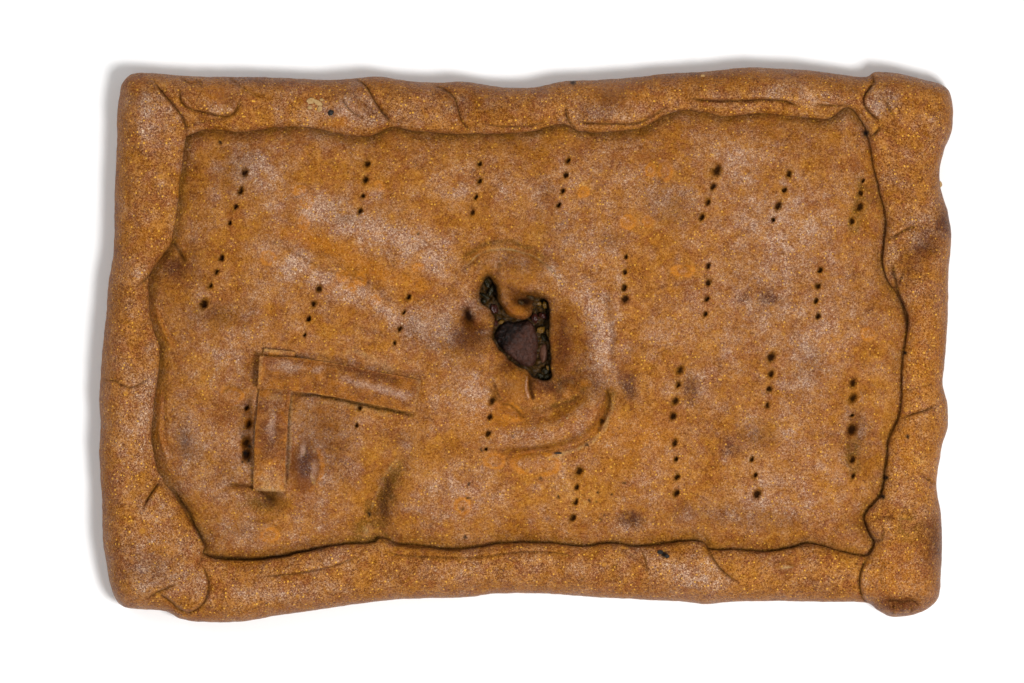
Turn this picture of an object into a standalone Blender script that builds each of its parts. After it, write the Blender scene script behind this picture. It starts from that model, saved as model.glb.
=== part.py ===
"""Galician empanada, a rectangular savoury pie about 36 cm long, baked and uncut.

The bottom sheet of dough is turned up at its edges and folded in over the edge of the lid, which makes
the rim. The lid is a second sheet, with a torn vent near its middle, where the filling shows, and rows of
fork pricks. Two plain strips of dough lie on it as an ornament.

All lengths are in millimetres, and MM turns them into metres. Places on the crust are written as points
(u, v) of the view from above, u to the right and v down, and plan() turns them into x and y.
"""

import bmesh
import bpy
import numpy as np
from mathutils import Vector
from mathutils.geometry import delaunay_2d_cdt
from mathutils.kdtree import KDTree

MM = 0.001

# Driving sizes
LENGTH = 360.0  # along x
VIEW_LENGTH = 857.0  # the same length in view points
VIEW_CENTRE = (526.1, 345.0)

# Heights of the rim, from the flat underside up
EDGE_Z = 9.0  # the widest line of the wall
CROWN_Z = 24.0  # top of the rolled rim
CROWN_SWAY = 1.3
LIP_Z = 19.0  # where the folded lip turns down on to the lid
UNDERSIDE_INSET = 4.5
WALL_ROUND = 11.0
LIP_ROUND = 7.0

# The lid, and what it lies on
SEAM_Z = 16.0  # top of the lid where it runs in under the lip
LID_THICK = 3.0
LID_TUCK = 4.0  # how far the lid's edge runs in under the lip
LID_RISE = 7.5
LID_REACH = 13.0  # the lid rises over about this distance from the seam
LID_FOOT = 0.5  # the lid starts to rise this far inside the seam
DOME_RISE = 2.5
DOME_REACH = 75.0
THINNEST = 1.2
FLOOR_THICK = 3.5
GAP = 0.35  # between neighbouring pieces
SIDE_GAP = 0.5

# Slow waviness: height and size of the lumps
LID_WAVES = (0.6, 24.0)
FILLING_LUMPS = (0.5, 7.0)
CROWN_WAVES = 42.0

# The filling under the vent
PIT_DEPTH = 8.0
PIT_CENTRE = (516, 329)
PIT_RADII = (26.0, 32.0)
LUMPY_SHARE = 0.3  # the filling is lumpy where the hollow has this share of its depth

# Fork pricks: four holes in a row, from a four-tined fork
PRICKS_IN_ROW = 4
PRICK_RADIUS = 1.3
PRICK_DEPTH = 1.6
PRICK_SIDES = 5

# Folds: rounding of the lapped edge, and the crease beside it as a share of the step
FOLD_NOSE = 2.0
FOLD_START = 0.2
CREASE_SHARE = 0.45
CREASE_HALF = 1.6
END_FADE = 4.0  # folds and ridges reach their height over a quarter of their length

# How finely the forms are divided
OUTLINE_POINTS = 212
SEAM_POINTS = 192
VENT_POINTS = 34
RIM_SPACING = 5.6
LID_SPACING = 6.2
UNDER_SPACING = 15.0
FLAT_SPACING = 30.0
FLAT_MARGIN = 14.0
VENT_SPACING = 4.0
FOLD_STEP = 5.0
LINE_STEP = 3.0
RIM_MARGIN = 5.6  # between the edges of the rim and the grid of points on it
LIP_MARGIN = 4.6

# Outline of the pie, clockwise from the left end of the top side
OUTLINE_VIEW = [
    (137, 72), (187, 75), (223, 76), (261, 76), (302, 78), (335, 79), (360, 76.7), (380, 75.7), (410, 80.3),
    (439, 81.6), (459, 80.5), (480, 83), (506, 86.5), (534, 86.5), (552, 83), (568, 79.8), (599, 79),
    (640, 75.8), (668, 72.5), (692, 71.5), (712, 70), (738, 67), (761, 66.8), (806, 69), (840, 73.4),
    (866, 76), (877, 71), (900, 72.7), (930, 80), (944, 84), (951, 92), (954.2, 108), (953, 130), (946, 149),
    (941.5, 167), (942, 188), (949, 211), (952.5, 238), (950, 272), (949, 320), (945.7, 366), (944, 384),
    (949, 406), (949, 426), (943, 448), (938.5, 476), (938, 492), (942, 511), (943.5, 540), (941.6, 585),
    (938, 601), (928, 610), (912, 616.5), (892, 617.5), (878, 611), (866, 603.6), (830, 602.7), (748, 602),
    (708, 605), (674, 602), (600, 598.5), (550, 594.6), (500, 594.4), (460, 598.6), (400, 600), (360, 604.6),
    (320, 610.5), (274, 617), (241, 622.6), (202, 623), (181, 620), (164, 612), (140, 610.5), (122, 607),
    (113, 597), (107, 574), (101.5, 537), (101, 505), (98, 455), (99.5, 428), (98, 400), (101, 353),
    (104.6, 316), (107.7, 279.5), (112.5, 250), (113.5, 190), (116, 139), (115.5, 119), (118.5, 94), (122, 81.5),
]

# The seam, where the lip of the rim ends on the lid, clockwise from the top left corner
SEAM_VIEW = [
    (189, 136), (205, 129.5), (225, 131), (240, 133), (262, 129.5), (290, 127), (312, 129), (340, 134),
    (360, 136.8), (378, 133.5), (393, 127.5), (412, 131), (440, 133.5), (480, 134), (525, 133), (545, 128),
    (565, 124.5), (578, 130.5), (600, 133), (628, 131), (647, 125.5), (665, 115.5), (684, 110), (704, 113),
    (726, 117), (760, 113.8), (800, 117), (828, 119), (842, 109), (852, 109), (861, 120), (866, 131),
    (870, 144), (874, 166), (880, 193), (886, 215), (885.5, 236), (883, 258), (887, 279), (898, 295),
    (908, 315), (906, 341), (902, 370), (901, 412), (890, 438), (886.5, 465), (882, 493), (868, 511),
    (864.5, 520), (870, 534), (875, 543), (867, 556), (840, 551), (812, 544), (785, 549), (765, 551.5),
    (735, 549.5), (711, 550), (702, 541.8), (680, 542), (640, 547), (613, 543), (585, 546), (550, 543.5),
    (510, 543), (460, 549), (430, 547), (398, 543.5), (381, 538), (372, 543), (340, 545), (300, 553),
    (262, 559.5), (225, 560), (204, 554), (205, 544), (193, 525), (178, 500), (160, 474), (152, 440),
    (155, 400), (160, 352), (153, 326), (149, 295), (152, 271), (168, 250), (175.5, 225), (180, 185), (186, 140),
]

# The torn vent, clockwise, with the tongue of dough that hangs in from its upper edge
VENT_VIEW = [
    (488, 276), (495, 281), (497, 292), (502, 306), (511, 317), (524, 319.5), (532, 315), (535, 303),
    (543, 301), (550, 312), (549.5, 340), (551, 366), (551, 379), (538, 378.5), (528, 371.5), (508, 362),
    (496, 347), (491.5, 336), (495, 324), (490, 307), (481, 298), (481, 284),
]

# Folds of the rim: (line, height of the step, how far the higher side falls back). The dough on the left
# of a line, walked from its first point to its last, lies over the dough on its right.
RIM_FOLDS = [
    ([(188, 134), (176, 108), (153, 80)], 1.6, 16),  # left side over the end of the top side
    ([(180, 88), (182, 102), (204, 113), (226, 117), (238, 107), (240, 96)], 1.5, 14),  # round tongue
    ([(393, 126), (381, 110), (366, 86), (354, 78)], 2.4, 18),
    ([(472, 131), (460, 118), (455, 100), (432, 84)], 1.6, 16),
    ([(565, 100), (567, 116), (576, 128)], 1.2, 12),
    ([(576, 124), (600, 125), (634, 124), (652, 117), (668, 106)], 1.0, 8),  # second layer of the lip
    ([(688, 99), (712, 101), (745, 101), (765, 100), (786, 102), (800, 108)], 1.7, 12),
    ([(812, 105), (832, 106), (850, 106)], 1.3, 10),
    ([(872, 72), (873, 82), (863, 99), (867, 111), (882, 123)], 2.0, 16),  # right side over the top side
    ([(882, 124), (868, 140)], 1.6, 12),
    ([(884, 240), (900, 233), (918, 225)], 1.5, 14),
    ([(936, 405), (920, 412), (901, 418)], 1.5, 14),
    ([(867, 556), (860, 572), (860, 590), (868, 604)], 2.4, 18),  # right side over the bottom side
    ([(738, 582), (720, 568), (711, 553)], 1.8, 18),
    ([(137, 287), (152, 273), (171, 244)], 2.0, 18),
    ([(162, 478), (149, 497), (143, 510)], 1.4, 16),  # corner flap at the bottom left
    ([(145, 600), (160, 591), (180, 583)], 1.2, 12),
    ([(158, 593), (172, 604), (188, 613), (205, 598), (208, 580), (203, 562)], 1.8, 14),
]

# Swellings of the rim: (centre, radii in millimetres, turn in degrees, height)
RIM_SWELLINGS = [
    ((907, 578), (11, 11), 0, 1.8),
    ((900, 609), (8, 3.5), 0, 2.0),
    ((905, 105), (16, 14), 0, 1.2),
    ((155, 548), (20, 22), 0, 1.5),
    ((845, 583), (14, 8), 0, -1.2),
    ((690, 575), (16, 10), -20, 1.5),
    ((352, 104), (12, 6), -40, 1.2),
    ((613, 100), (10, 7), 0, 1.2),
    ((148, 345), (4, 9), 0, -2.2),  # hollows beside the turned-up edge of the lid
    ((149, 450), (4, 10), 0, -2.2),
    ((898, 283), (4, 10), 15, -2.0),
]

# Forms of the lid: (line, half width in millimetres, height)
LID_RIDGES = [
    ([(488, 425), (520, 436), (556, 430), (582, 412), (594, 385), (598, 340), (588, 300)], 7.0, 2.6),
    ([(480, 266), (505, 258), (540, 268), (565, 290), (588, 300)], 7.0, 1.4),
    ([(504, 456), (549, 451), (585, 440), (603, 424), (612, 392)], 2.2, -2.0),  # crease round the vent
    ([(462, 270), (480, 253), (505, 248), (540, 259), (568, 287)], 1.8, -0.8),
    ([(400, 460), (386, 480), (374, 508), (371, 536)], 7.0, -3.4),  # valley below the ornament
    ([(228, 486), (252, 490), (270, 500), (276, 507)], 2.4, -1.8),
    ([(153, 304), (160, 324), (170, 344)], 1.8, 2.4),  # the lid's own edge, turned up along the seam
    ([(158, 384), (158, 412), (159, 436), (167, 456)], 1.8, 2.2),
    ([(244, 436), (246, 462)], 2.0, -2.0),  # tear along the row of pricks by the short strip
]
LID_SWELLINGS = [
    ((285, 455), (42, 40), 0, 2.6),
    ((268, 503), (7, 4), 0, -2.6),
    ((306, 466), (6.5, 11), 0, 1.8),  # glossy blister
    ((538, 463), (10, 4.5), -4, 1.0),
    ((225, 150), (26, 14), 0, 0.8),
    ((745, 290), (16, 14), 0, 1.2),
    ((640, 200), (60, 26), 0, 1.2),
    ((760, 480), (50, 26), 0, 1.4),
    ((475, 500), (36, 16), 0, 1.2),
    ((340, 215), (26, 18), 0, 1.4),
    ((524, 330), (25, 32), 0, -2.0),  # the dough dips towards the vent
    ((548, 394), (10, 6), 10, -1.6),
    ((470, 318), (4, 4), 0, -2.0),
]

# Rows of pricks, each from its first hole to its last
PRICK_ROWS = [
    [(244, 174), (230, 223)], [(367.5, 163.5), (361, 212)], [(480, 164), (473, 212)], [(569, 160), (560, 206)],
    [(717, 170.5), (702, 217)], [(789, 174), (774, 220)], [(862, 180), (849, 223)], [(222, 258), (203, 303)],
    [(321, 289.5), (305, 335)], [(409, 297), (395, 343)], [(627, 257), (624, 300)], [(708, 268), (705, 314)],
    [(820, 268), (818, 316)], [(492, 401), (488, 449)], [(680, 370), (673, 417)], [(674.5, 443), (676, 493.5)],
    [(771, 357), (767, 406)], [(753, 447), (758, 495)], [(852, 383), (851, 430)], [(852, 446), (852, 477)],
    [(579, 470), (573, 518)], [(247, 408), (245, 455)],
]

# The two strips of dough: centre lines, widths and thickness
SHORT_STRIP_VIEW = [(280, 350), (275, 395), (271, 440), (269.5, 491)]
LONG_STRIP_VIEW = [(259, 372), (290, 374), (323, 378), (370, 387), (418, 396.5)]
SHORT_STRIP_WIDTH = 13.6
LONG_STRIP_WIDTH = 14.2
STRIP_THICK = 3.6
STRIP_SINK = 1.0  # the short strip is pressed flatter where the long one crosses it
STRIP_RINGS = 18
STRIP_SIDES = 5

STRIP_TOP_SHARE = 0.47  # half the width of its top, as a share of the whole
STRIP_ROUND = 1.35
CROSSING = (277, 372)
CROSSING_REACH = 11.0
CROSSING_FLAT = 0.6

# Pieces of the filling that stand up in the vent: name, centre, radii, colour
FILLING_PIECES = [
    ("meat_large", (518, 345), (8.6, 10.2, 2.7), (0.055, 0.022, 0.016)),
    ("meat_small", (544, 350), (2.3, 5.0, 2.2), (0.130, 0.050, 0.036)),
    ("pepper_piece", (488, 290), (2.6, 4.6, 1.8), (0.030, 0.026, 0.010)),
]

PIECE_LUMPS = (0.10, 0.8)
FINE_FROM = 6.0  # pieces at least this long are divided once more

CRUST_COLOUR = (0.330, 0.135, 0.042)
LID_COLOUR = (0.350, 0.145, 0.048)
STRIP_COLOUR = (0.300, 0.110, 0.032)
FILLING_COLOUR = (0.050, 0.024, 0.012)
CRUST_ROUGHNESS = 0.55
LID_ROUGHNESS = 0.5
STRIP_ROUGHNESS = 0.35
FILLING_ROUGHNESS = 0.35
PIECE_ROUGHNESS = 0.4

# Table of random slopes behind the waviness
WAVE_CELLS = 64
WAVE_START = 31.7
WAVE_GAIN = 1.5


def plan(view_points):
    """View points to x and y in millimetres."""
    scale = LENGTH / VIEW_LENGTH
    points = np.asarray(view_points, float) - VIEW_CENTRE
    return points * (scale, -scale)


def spline(points, closed, pieces=8):
    """Points along a smooth curve through the given ones."""
    if closed:
        before, start, end, after = (np.roll(points, shift, 0) for shift in (1, 0, -1, -2))
    else:
        padded = np.vstack([2 * points[0] - points[1], points, 2 * points[-1] - points[-2]])
        before, start, end, after = padded[:-3], padded[1:-2], padded[2:-1], padded[3:]
    t = (np.arange(pieces) / pieces)[None, :, None]
    before, start, end, after = (p[:, None, :] for p in (before, start, end, after))
    curve = 0.5 * (
        2 * start
        + (end - before) * t
        + (2 * before - 5 * start + 4 * end - after) * t**2
        + (3 * start - before - 3 * end + after) * t**3
    )
    curve = curve.reshape(-1, 2)
    return curve if closed else np.vstack([curve, points[-1]])


def evenly(curve, count):
    """The given number of points, equally far apart along an open curve."""
    steps = np.linalg.norm(np.diff(curve, axis=0), axis=1)
    travelled = np.concatenate([[0.0], np.cumsum(steps)])
    wanted = np.linspace(0.0, travelled[-1], count)
    return np.stack([np.interp(wanted, travelled, curve[:, k]) for k in (0, 1)], 1)


def smooth_loop(view_points, count):
    """A closed smooth curve, counter-clockwise from above, as equally spaced points."""
    curve = spline(plan(view_points)[::-1], True)
    return evenly(np.vstack([curve, curve[0]]), count + 1)[:-1]


def smooth_line(view_points, step):
    """An open smooth curve as points about one step apart."""
    curve = spline(plan(view_points), False)
    length = np.linalg.norm(np.diff(curve, axis=0), axis=1).sum()
    return evenly(curve, max(2, round(length / step) + 1))


def shifted(loop, outward, calm=5):
    """The loop moved outward, along normals that are averaged over a few points on either side."""
    tangent = np.roll(loop, -1, 0) - np.roll(loop, 1, 0)
    normal = np.stack([tangent[:, 1], -tangent[:, 0]], 1)
    normal = sum(np.roll(normal, k, 0) for k in range(-calm, calm + 1))
    return loop + outward * normal / np.linalg.norm(normal, axis=1)[:, None]


def softened(loop, reach):
    """The loop averaged over a number of points on either side."""
    return sum(np.roll(loop, k, 0) for k in range(-reach, reach + 1)) / (2 * reach + 1)


def nearest(points, line):
    """Distance of each point to a line, how far along it that is (0 to 1), and +1 on its left or -1."""
    start, run = line[:-1], np.diff(line, axis=0)
    to_start = points[:, None, :] - start
    part = np.clip((to_start * run).sum(-1) / (run * run).sum(-1), 0.0, 1.0)
    gap = to_start - part[..., None] * run
    distance = np.sqrt((gap * gap).sum(-1))
    best = distance.argmin(1)
    rows = np.arange(len(points))
    cross = run[best, 0] * to_start[rows, best, 1] - run[best, 1] * to_start[rows, best, 0]
    return distance[rows, best], (best + part[rows, best]) / len(run), np.where(cross > 0, 1.0, -1.0)


def inside(points, loop):
    """Which points lie inside a closed loop."""
    x, y = points[:, 0, None], points[:, 1, None]
    ax, ay = loop[:, 0], loop[:, 1]
    bx, by = np.roll(ax, -1), np.roll(ay, -1)
    spans = (ay > y) != (by > y)
    rise = np.where(by == ay, 1.0, by - ay)
    return (spans & (x < (bx - ax) * (y - ay) / rise + ax)).sum(1) % 2 == 1


def depth(points, loop):
    """Distance to a closed loop, positive inside it."""
    distance = nearest(points, np.vstack([loop, loop[0]]))[0]
    return np.where(inside(points, loop), distance, -distance)


def noise(points, size, seed):
    """Smooth noise between about -1 and 1, with lumps about one size across."""
    turns = np.random.default_rng(seed).uniform(0.0, 2.0 * np.pi, (WAVE_CELLS, WAVE_CELLS))
    place = points / size + WAVE_START
    cell = np.floor(place).astype(int)
    part = place - cell
    fade = part**3 * (part * (part * 6.0 - 15.0) + 10.0)

    def corner(i, j):
        turn = turns[(cell[:, 0] + i) % WAVE_CELLS, (cell[:, 1] + j) % WAVE_CELLS]
        return np.cos(turn) * (part[:, 0] - i) + np.sin(turn) * (part[:, 1] - j)

    low = corner(0, 0) * (1 - fade[:, 0]) + corner(1, 0) * fade[:, 0]
    high = corner(0, 1) * (1 - fade[:, 0]) + corner(1, 1) * fade[:, 0]
    return WAVE_GAIN * (low * (1 - fade[:, 1]) + high * fade[:, 1])


def quarter(share):
    """A quarter circle that rises from 0 to 1 and then stays there."""
    return np.sqrt(1.0 - (1.0 - np.clip(share, 0.0, 1.0)) ** 2)


def eased(share):
    """A smooth step that rises from 0 to 1 and then stays there."""
    share = np.clip(share, 0.0, 1.0)
    return share * share * (3.0 - 2.0 * share)


def swelling(points, centre, radii, degrees):
    """A round mound: 1 at its centre, fading over its radii."""
    turn = np.radians(degrees)
    offset = points - plan([centre])[0]
    along = offset[:, 0] * np.cos(turn) + offset[:, 1] * np.sin(turn)
    across = offset[:, 1] * np.cos(turn) - offset[:, 0] * np.sin(turn)
    return np.exp(-((along / radii[0]) ** 2) - (across / radii[1]) ** 2)


def ridge(points, view_line, half_width):
    """A rounded ridge along a line: 1 on it, fading to both sides and at its ends."""
    distance, along, _ = nearest(points, smooth_line(view_line, LINE_STEP))
    ends = quarter(END_FADE * np.minimum(along, 1.0 - along) + 0.15)
    return ends * np.exp(-((distance / half_width) ** 2))


def fold(points, view_line, reach):
    """A lapped edge: 1 just left of the line, falling back over the reach, and a crease on its right."""
    distance, along, side = nearest(points, smooth_line(view_line, LINE_STEP))
    ends = quarter(END_FADE * np.minimum(along, 1.0 - along))
    lapped = quarter(distance / FOLD_NOSE + FOLD_START) * np.exp(-distance / reach)
    crease = -CREASE_SHARE * np.exp(-((distance / CREASE_HALF) ** 2))
    return ends * np.where(side > 0, lapped, crease)


OUTLINE = smooth_loop(OUTLINE_VIEW, OUTLINE_POINTS)
SEAM = smooth_loop(SEAM_VIEW, SEAM_POINTS)
VENT = smooth_loop(VENT_VIEW, VENT_POINTS)


def rim_top(points):
    """Height of the rim's outer surface above the seam and inside the outline."""
    from_edge = np.maximum(depth(points, OUTLINE), 0.0)
    from_seam = np.maximum(-depth(points, SEAM), 0.0)
    crown = CROWN_Z + CROWN_SWAY * noise(points, CROWN_WAVES, 3)
    height = EDGE_Z + (crown - EDGE_Z) * quarter(from_edge / WALL_ROUND)
    height = LIP_Z + (height - LIP_Z) * quarter(from_seam / LIP_ROUND)
    relief = sum(step * fold(points, line, reach) for line, step, reach in RIM_FOLDS)
    relief += sum(rise * swelling(points, *form) for *form, rise in RIM_SWELLINGS)
    return height + relief * quarter(from_edge / 5.0) * quarter(from_seam / 2.5)


def lid_calm(points):
    """Height of the lid without its smaller forms."""
    inward = np.maximum(depth(points, SEAM) - LID_FOOT, 0.0)
    dome = DOME_RISE * np.sin(0.5 * np.pi * np.minimum(inward / DOME_REACH, 1.0))
    return SEAM_Z + LID_RISE * (1.0 - np.exp(-inward / LID_REACH)) + dome


def prick_places():
    """The centres of all the pricks."""
    rows = [evenly(plan(row), PRICKS_IN_ROW) for row in PRICK_ROWS]
    return np.vstack(rows)


def lid_top(points):
    """Height of the lid's upper surface."""
    calm = lid_calm(points)
    relief = sum(rise * ridge(points, line, width) for line, width, rise in LID_RIDGES)
    relief += sum(rise * swelling(points, *form) for *form, rise in LID_SWELLINGS)
    rise, size = LID_WAVES
    relief += rise * noise(points, size, 5)
    height = calm + relief * eased(depth(points, SEAM) / 3.0 - 0.5)
    to_prick = np.linalg.norm(points[:, None, :] - PRICKS, axis=2).min(1)
    height -= PRICK_DEPTH * (to_prick < 0.5 * PRICK_RADIUS)
    return np.maximum(height, calm - LID_THICK + THINNEST)


def filling_top(points):
    """Height of the filling, which lies close under the lid and is open to view in the vent."""
    from_centre = ((points - plan([PIT_CENTRE])) / PIT_RADII) ** 2
    pit = PIT_DEPTH * np.exp(-(from_centre.sum(1) ** 2))
    rise, size = FILLING_LUMPS
    lumps = rise * noise(points, size, 11) * (pit > LUMPY_SHARE * PIT_DEPTH)
    return lid_calm(points) - LID_THICK - GAP - pit + lumps


PRICKS = prick_places()


def staggered(loop, spacing, margin):
    """Points of a triangular grid inside a loop, at least a margin away from it."""
    low, high = loop.min(0), loop.max(0)
    row_height = spacing * np.sqrt(0.75)
    rows = np.arange(low[1], high[1], row_height)
    columns = np.arange(low[0], high[0], spacing)
    x, y = np.meshgrid(columns, rows)
    x = x + 0.5 * spacing * (np.arange(len(rows)) % 2)[:, None]
    points = np.stack([x.ravel(), y.ravel()], 1)
    return points[depth(points, loop) > margin]


def beside(view_line, offset, step):
    """Points along both sides of a line."""
    line = smooth_line(view_line, step)
    tangent = np.gradient(line, axis=0)
    normal = np.stack([-tangent[:, 1], tangent[:, 0]], 1) / np.linalg.norm(tangent, axis=1)[:, None]
    return np.vstack([line + offset * normal, line - offset * normal])


def clear_of(points, taken, gap):
    """The points that are at least a gap away from the ones already taken."""
    tree = KDTree(len(taken))
    for index, (x, y) in enumerate(taken):
        tree.insert((x, y, 0.0), index)
    tree.balance()
    return points[[tree.find((x, y, 0.0))[2] >= gap for x, y in points]]


class Shell:
    """The points and triangles of one closed body."""

    def __init__(self):
        self.points = np.empty((0, 3))
        self.faces = []

    def ring(self, places, height):
        """Adds points at the given plan places and height, and returns their numbers."""
        first = len(self.points)
        heights = np.broadcast_to(height, len(places))
        self.points = np.vstack([self.points, np.column_stack([places, heights])])
        return np.arange(first, len(self.points))

    def join(self, one, other):
        """Triangles between two closed rings that run the same way from the same start."""
        i = j = 0
        while i < len(one) or j < len(other):
            here = one[i % len(one)], other[j % len(other)]
            if (i + 1) * len(other) <= (j + 1) * len(one):
                i += 1
                self.faces.append((*here, one[i % len(one)]))
            else:
                j += 1
                self.faces.append((*here, other[j % len(other)]))

    def cap(self, edge, holes, places, height, creases=()):
        """Triangles over the area inside the edge ring and outside the holes, with edges on the creases."""
        filled = self.ring(places, height)
        rings = [edge, *holes, *creases]
        used = np.concatenate([*rings, filled])
        flat = self.points[used, :2]
        links = []
        first = 0
        for ring in rings:
            links += [(first + k, first + (k + 1) % len(ring)) for k in range(len(ring))]
            first += len(ring)
        corners = [Vector(point) for point in flat.tolist()]
        triangles = np.array(delaunay_2d_cdt(corners, links, [], 0, 1e-6, False)[2])
        middles = flat[triangles].mean(1)
        wanted = inside(middles, self.points[edge, :2])
        for hole in holes:
            wanted &= ~inside(middles, self.points[hole, :2])
        self.faces += [tuple(used[triangle]) for triangle in triangles[wanted]]

    def build(self, name, colour, roughness):
        """Makes the object, with its faces pointing out."""
        mesh = bpy.data.meshes.new(name)
        mesh.from_pydata((self.points * MM).tolist(), [], [tuple(map(int, face)) for face in self.faces])
        shape = bmesh.new()
        shape.from_mesh(mesh)
        bmesh.ops.recalc_face_normals(shape, faces=shape.faces)
        shape.to_mesh(mesh)
        shape.free()
        mesh.shade_smooth()
        mesh.materials.append(make_material(name, colour, roughness))
        body = bpy.data.objects.new(name, mesh)
        bpy.context.collection.objects.link(body)
        return body


def make_material(name, colour, roughness):
    material = bpy.data.materials.new(name)
    material.use_nodes = True
    shader = material.node_tree.nodes["Principled BSDF"]
    shader.inputs["Base Color"].default_value = (*colour, 1.0)
    shader.inputs["Roughness"].default_value = roughness
    shader.inputs["Metallic"].default_value = 0.0
    return material


def make_base_crust():
    """Bottom sheet with its edges turned up and folded in over the lid."""
    shell = Shell()
    edge = shell.ring(OUTLINE, EDGE_Z)
    lip = shell.ring(SEAM, LIP_Z)

    # Upper surface of the rim, with rows of points along its rounded edges and beside its folds
    rows = [shifted(OUTLINE, -1.0), shifted(OUTLINE, -3.4), shifted(SEAM, 1.3), shifted(SEAM, 3.4)[::2]]
    shaped = np.vstack(rows)
    folds = np.vstack([beside(line, 0.9, FOLD_STEP) for line, _, _ in RIM_FOLDS])
    shaped = np.vstack([clear_of(shaped, folds, 1.2), folds])
    shaped = shaped[(depth(shaped, OUTLINE) > 0.7) & (depth(shaped, SEAM) < -0.8)]
    grid = staggered(OUTLINE, RIM_SPACING, RIM_MARGIN)
    grid = clear_of(grid[depth(grid, SEAM) < -LIP_MARGIN], shaped, 0.55 * RIM_SPACING)
    places = np.vstack([shaped, grid])
    shell.cap(edge, [lip], places, rim_top(places))

    # Lower wall, curling in under the edge to the flat underside
    calm = softened(OUTLINE, 2)
    below = edge
    for turn, share in ((30, 1), (60, 2), (90, 2)):
        angle = np.radians(turn)
        inset = UNDERSIDE_INSET * (1.0 - np.cos(angle))
        blend = np.sin(angle)
        wall = shifted(OUTLINE * (1 - blend) + calm * blend, -inset)[::share]
        ring = shell.ring(wall, EDGE_Z * (1.0 - np.sin(angle)))
        shell.join(below, ring)
        below = ring
    shell.cap(below, [], staggered(OUTLINE, FLAT_SPACING, FLAT_MARGIN + UNDERSIDE_INSET), 0.0)

    # Nose of the lip, its underside, the recess that takes the lid's edge, and the hollow for the filling
    ledge_z = SEAM_Z - LID_THICK - GAP
    recess = LID_TUCK + SIDE_GAP
    profile = [
        (0.5, SEAM_Z + 1.6, 1),
        (1.2, SEAM_Z + GAP, 2),
        (recess, SEAM_Z + GAP, 2),
        (recess, ledge_z, 2),
        (1.5, ledge_z, 2),
        (-0.4, FLOOR_THICK, 2),
    ]
    inner = lip
    for outward, height, share in profile:
        ring = shell.ring(shifted(SEAM, outward)[::share], height)
        shell.join(inner, ring)
        inner = ring
    shell.cap(inner, [], staggered(SEAM, FLAT_SPACING, FLAT_MARGIN), FLOOR_THICK)
    return shell.build("base_crust", CRUST_COLOUR, CRUST_ROUGHNESS)


def under_foot():
    """The ring just inside the seam from which the lid's lower surface and the filling rise."""
    return shifted(SEAM, -2.0)[::2]


def under_places():
    """Places shared by the lid's lower surface and the filling's upper one, which stay parallel."""
    rows = np.vstack([shifted(SEAM, outward)[::3] for outward in (-4.5, -9.5)])
    around = shifted(VENT, 4.0)[::2]
    grid = clear_of(staggered(SEAM, UNDER_SPACING, 15.0), around, 6.0)
    places = np.vstack([rows, grid, around])
    return places[depth(places, VENT) < -2.0]


def make_lid():
    """Upper sheet, with its vent, pricks, collar and blisters, and its edge tucked in under the lip."""
    shell = Shell()
    tucked = shifted(SEAM, LID_TUCK)[::2]
    upper = shell.ring(tucked, SEAM_Z)
    lower = shell.ring(tucked, SEAM_Z - LID_THICK)
    vent_upper = shell.ring(VENT, lid_top(VENT))
    vent_lower = shell.ring(VENT, lid_calm(VENT) - LID_THICK)
    shell.join(upper, lower)
    shell.join(vent_upper, vent_lower)

    # Each prick is a low point with a few points round it on the surface
    turns = np.arange(PRICK_SIDES) * 2.0 * np.pi / PRICK_SIDES
    circle = PRICK_RADIUS * np.stack([np.cos(turns), np.sin(turns)], 1)
    around = (PRICKS[:, None, :] + circle).reshape(-1, 2)
    pricks = np.vstack([PRICKS, around])
    lines = [beside(line, 1.0, FOLD_STEP) for line, width, _ in LID_RIDGES if width < 3.0]
    rows = [shifted(SEAM, -3.2)[::2], shifted(VENT, 2.0), *lines]
    rows = clear_of(np.vstack(rows), pricks, 1.6)
    shaped = np.vstack([pricks, rows])
    grid = clear_of(staggered(SEAM, LID_SPACING, 4.5), shaped, 0.5 * LID_SPACING)
    places = np.vstack([shaped, grid])
    places = places[(depth(places, VENT) < -1.0) & (depth(places, SEAM) > 1.4)]
    foot = shell.ring(shifted(SEAM, -0.5)[::2], SEAM_Z)
    shell.cap(upper, [vent_upper], places, lid_top(places), [foot])
    under = under_places()
    foot_places = under_foot()
    foot = shell.ring(foot_places, lid_calm(foot_places) - LID_THICK)
    shell.cap(lower, [vent_lower], under, lid_calm(under) - LID_THICK, [foot])
    return shell.build("lid", LID_COLOUR, LID_ROUGHNESS)


def make_filling():
    """The filling, which fills the pie from side to side and is lumpy where the vent shows it."""
    shell = Shell()
    top = shell.ring(shifted(SEAM, 1.5 - SIDE_GAP)[::2], SEAM_Z - LID_THICK - GAP)
    bottom = shell.ring(shifted(SEAM, -0.4 - SIDE_GAP)[::2], FLOOR_THICK + GAP)
    shell.join(top, bottom)
    shell.cap(bottom, [], staggered(SEAM, FLAT_SPACING, FLAT_MARGIN), FLOOR_THICK + GAP)
    foot = shell.ring(under_foot(), filling_top(under_foot()))
    seen = staggered(VENT, VENT_SPACING, 1.5)
    places = np.vstack([under_places(), seen, VENT[::2]])
    shell.cap(top, [], places, filling_top(places), [foot])
    return shell.build("filling", FILLING_COLOUR, FILLING_ROUGHNESS)


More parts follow.
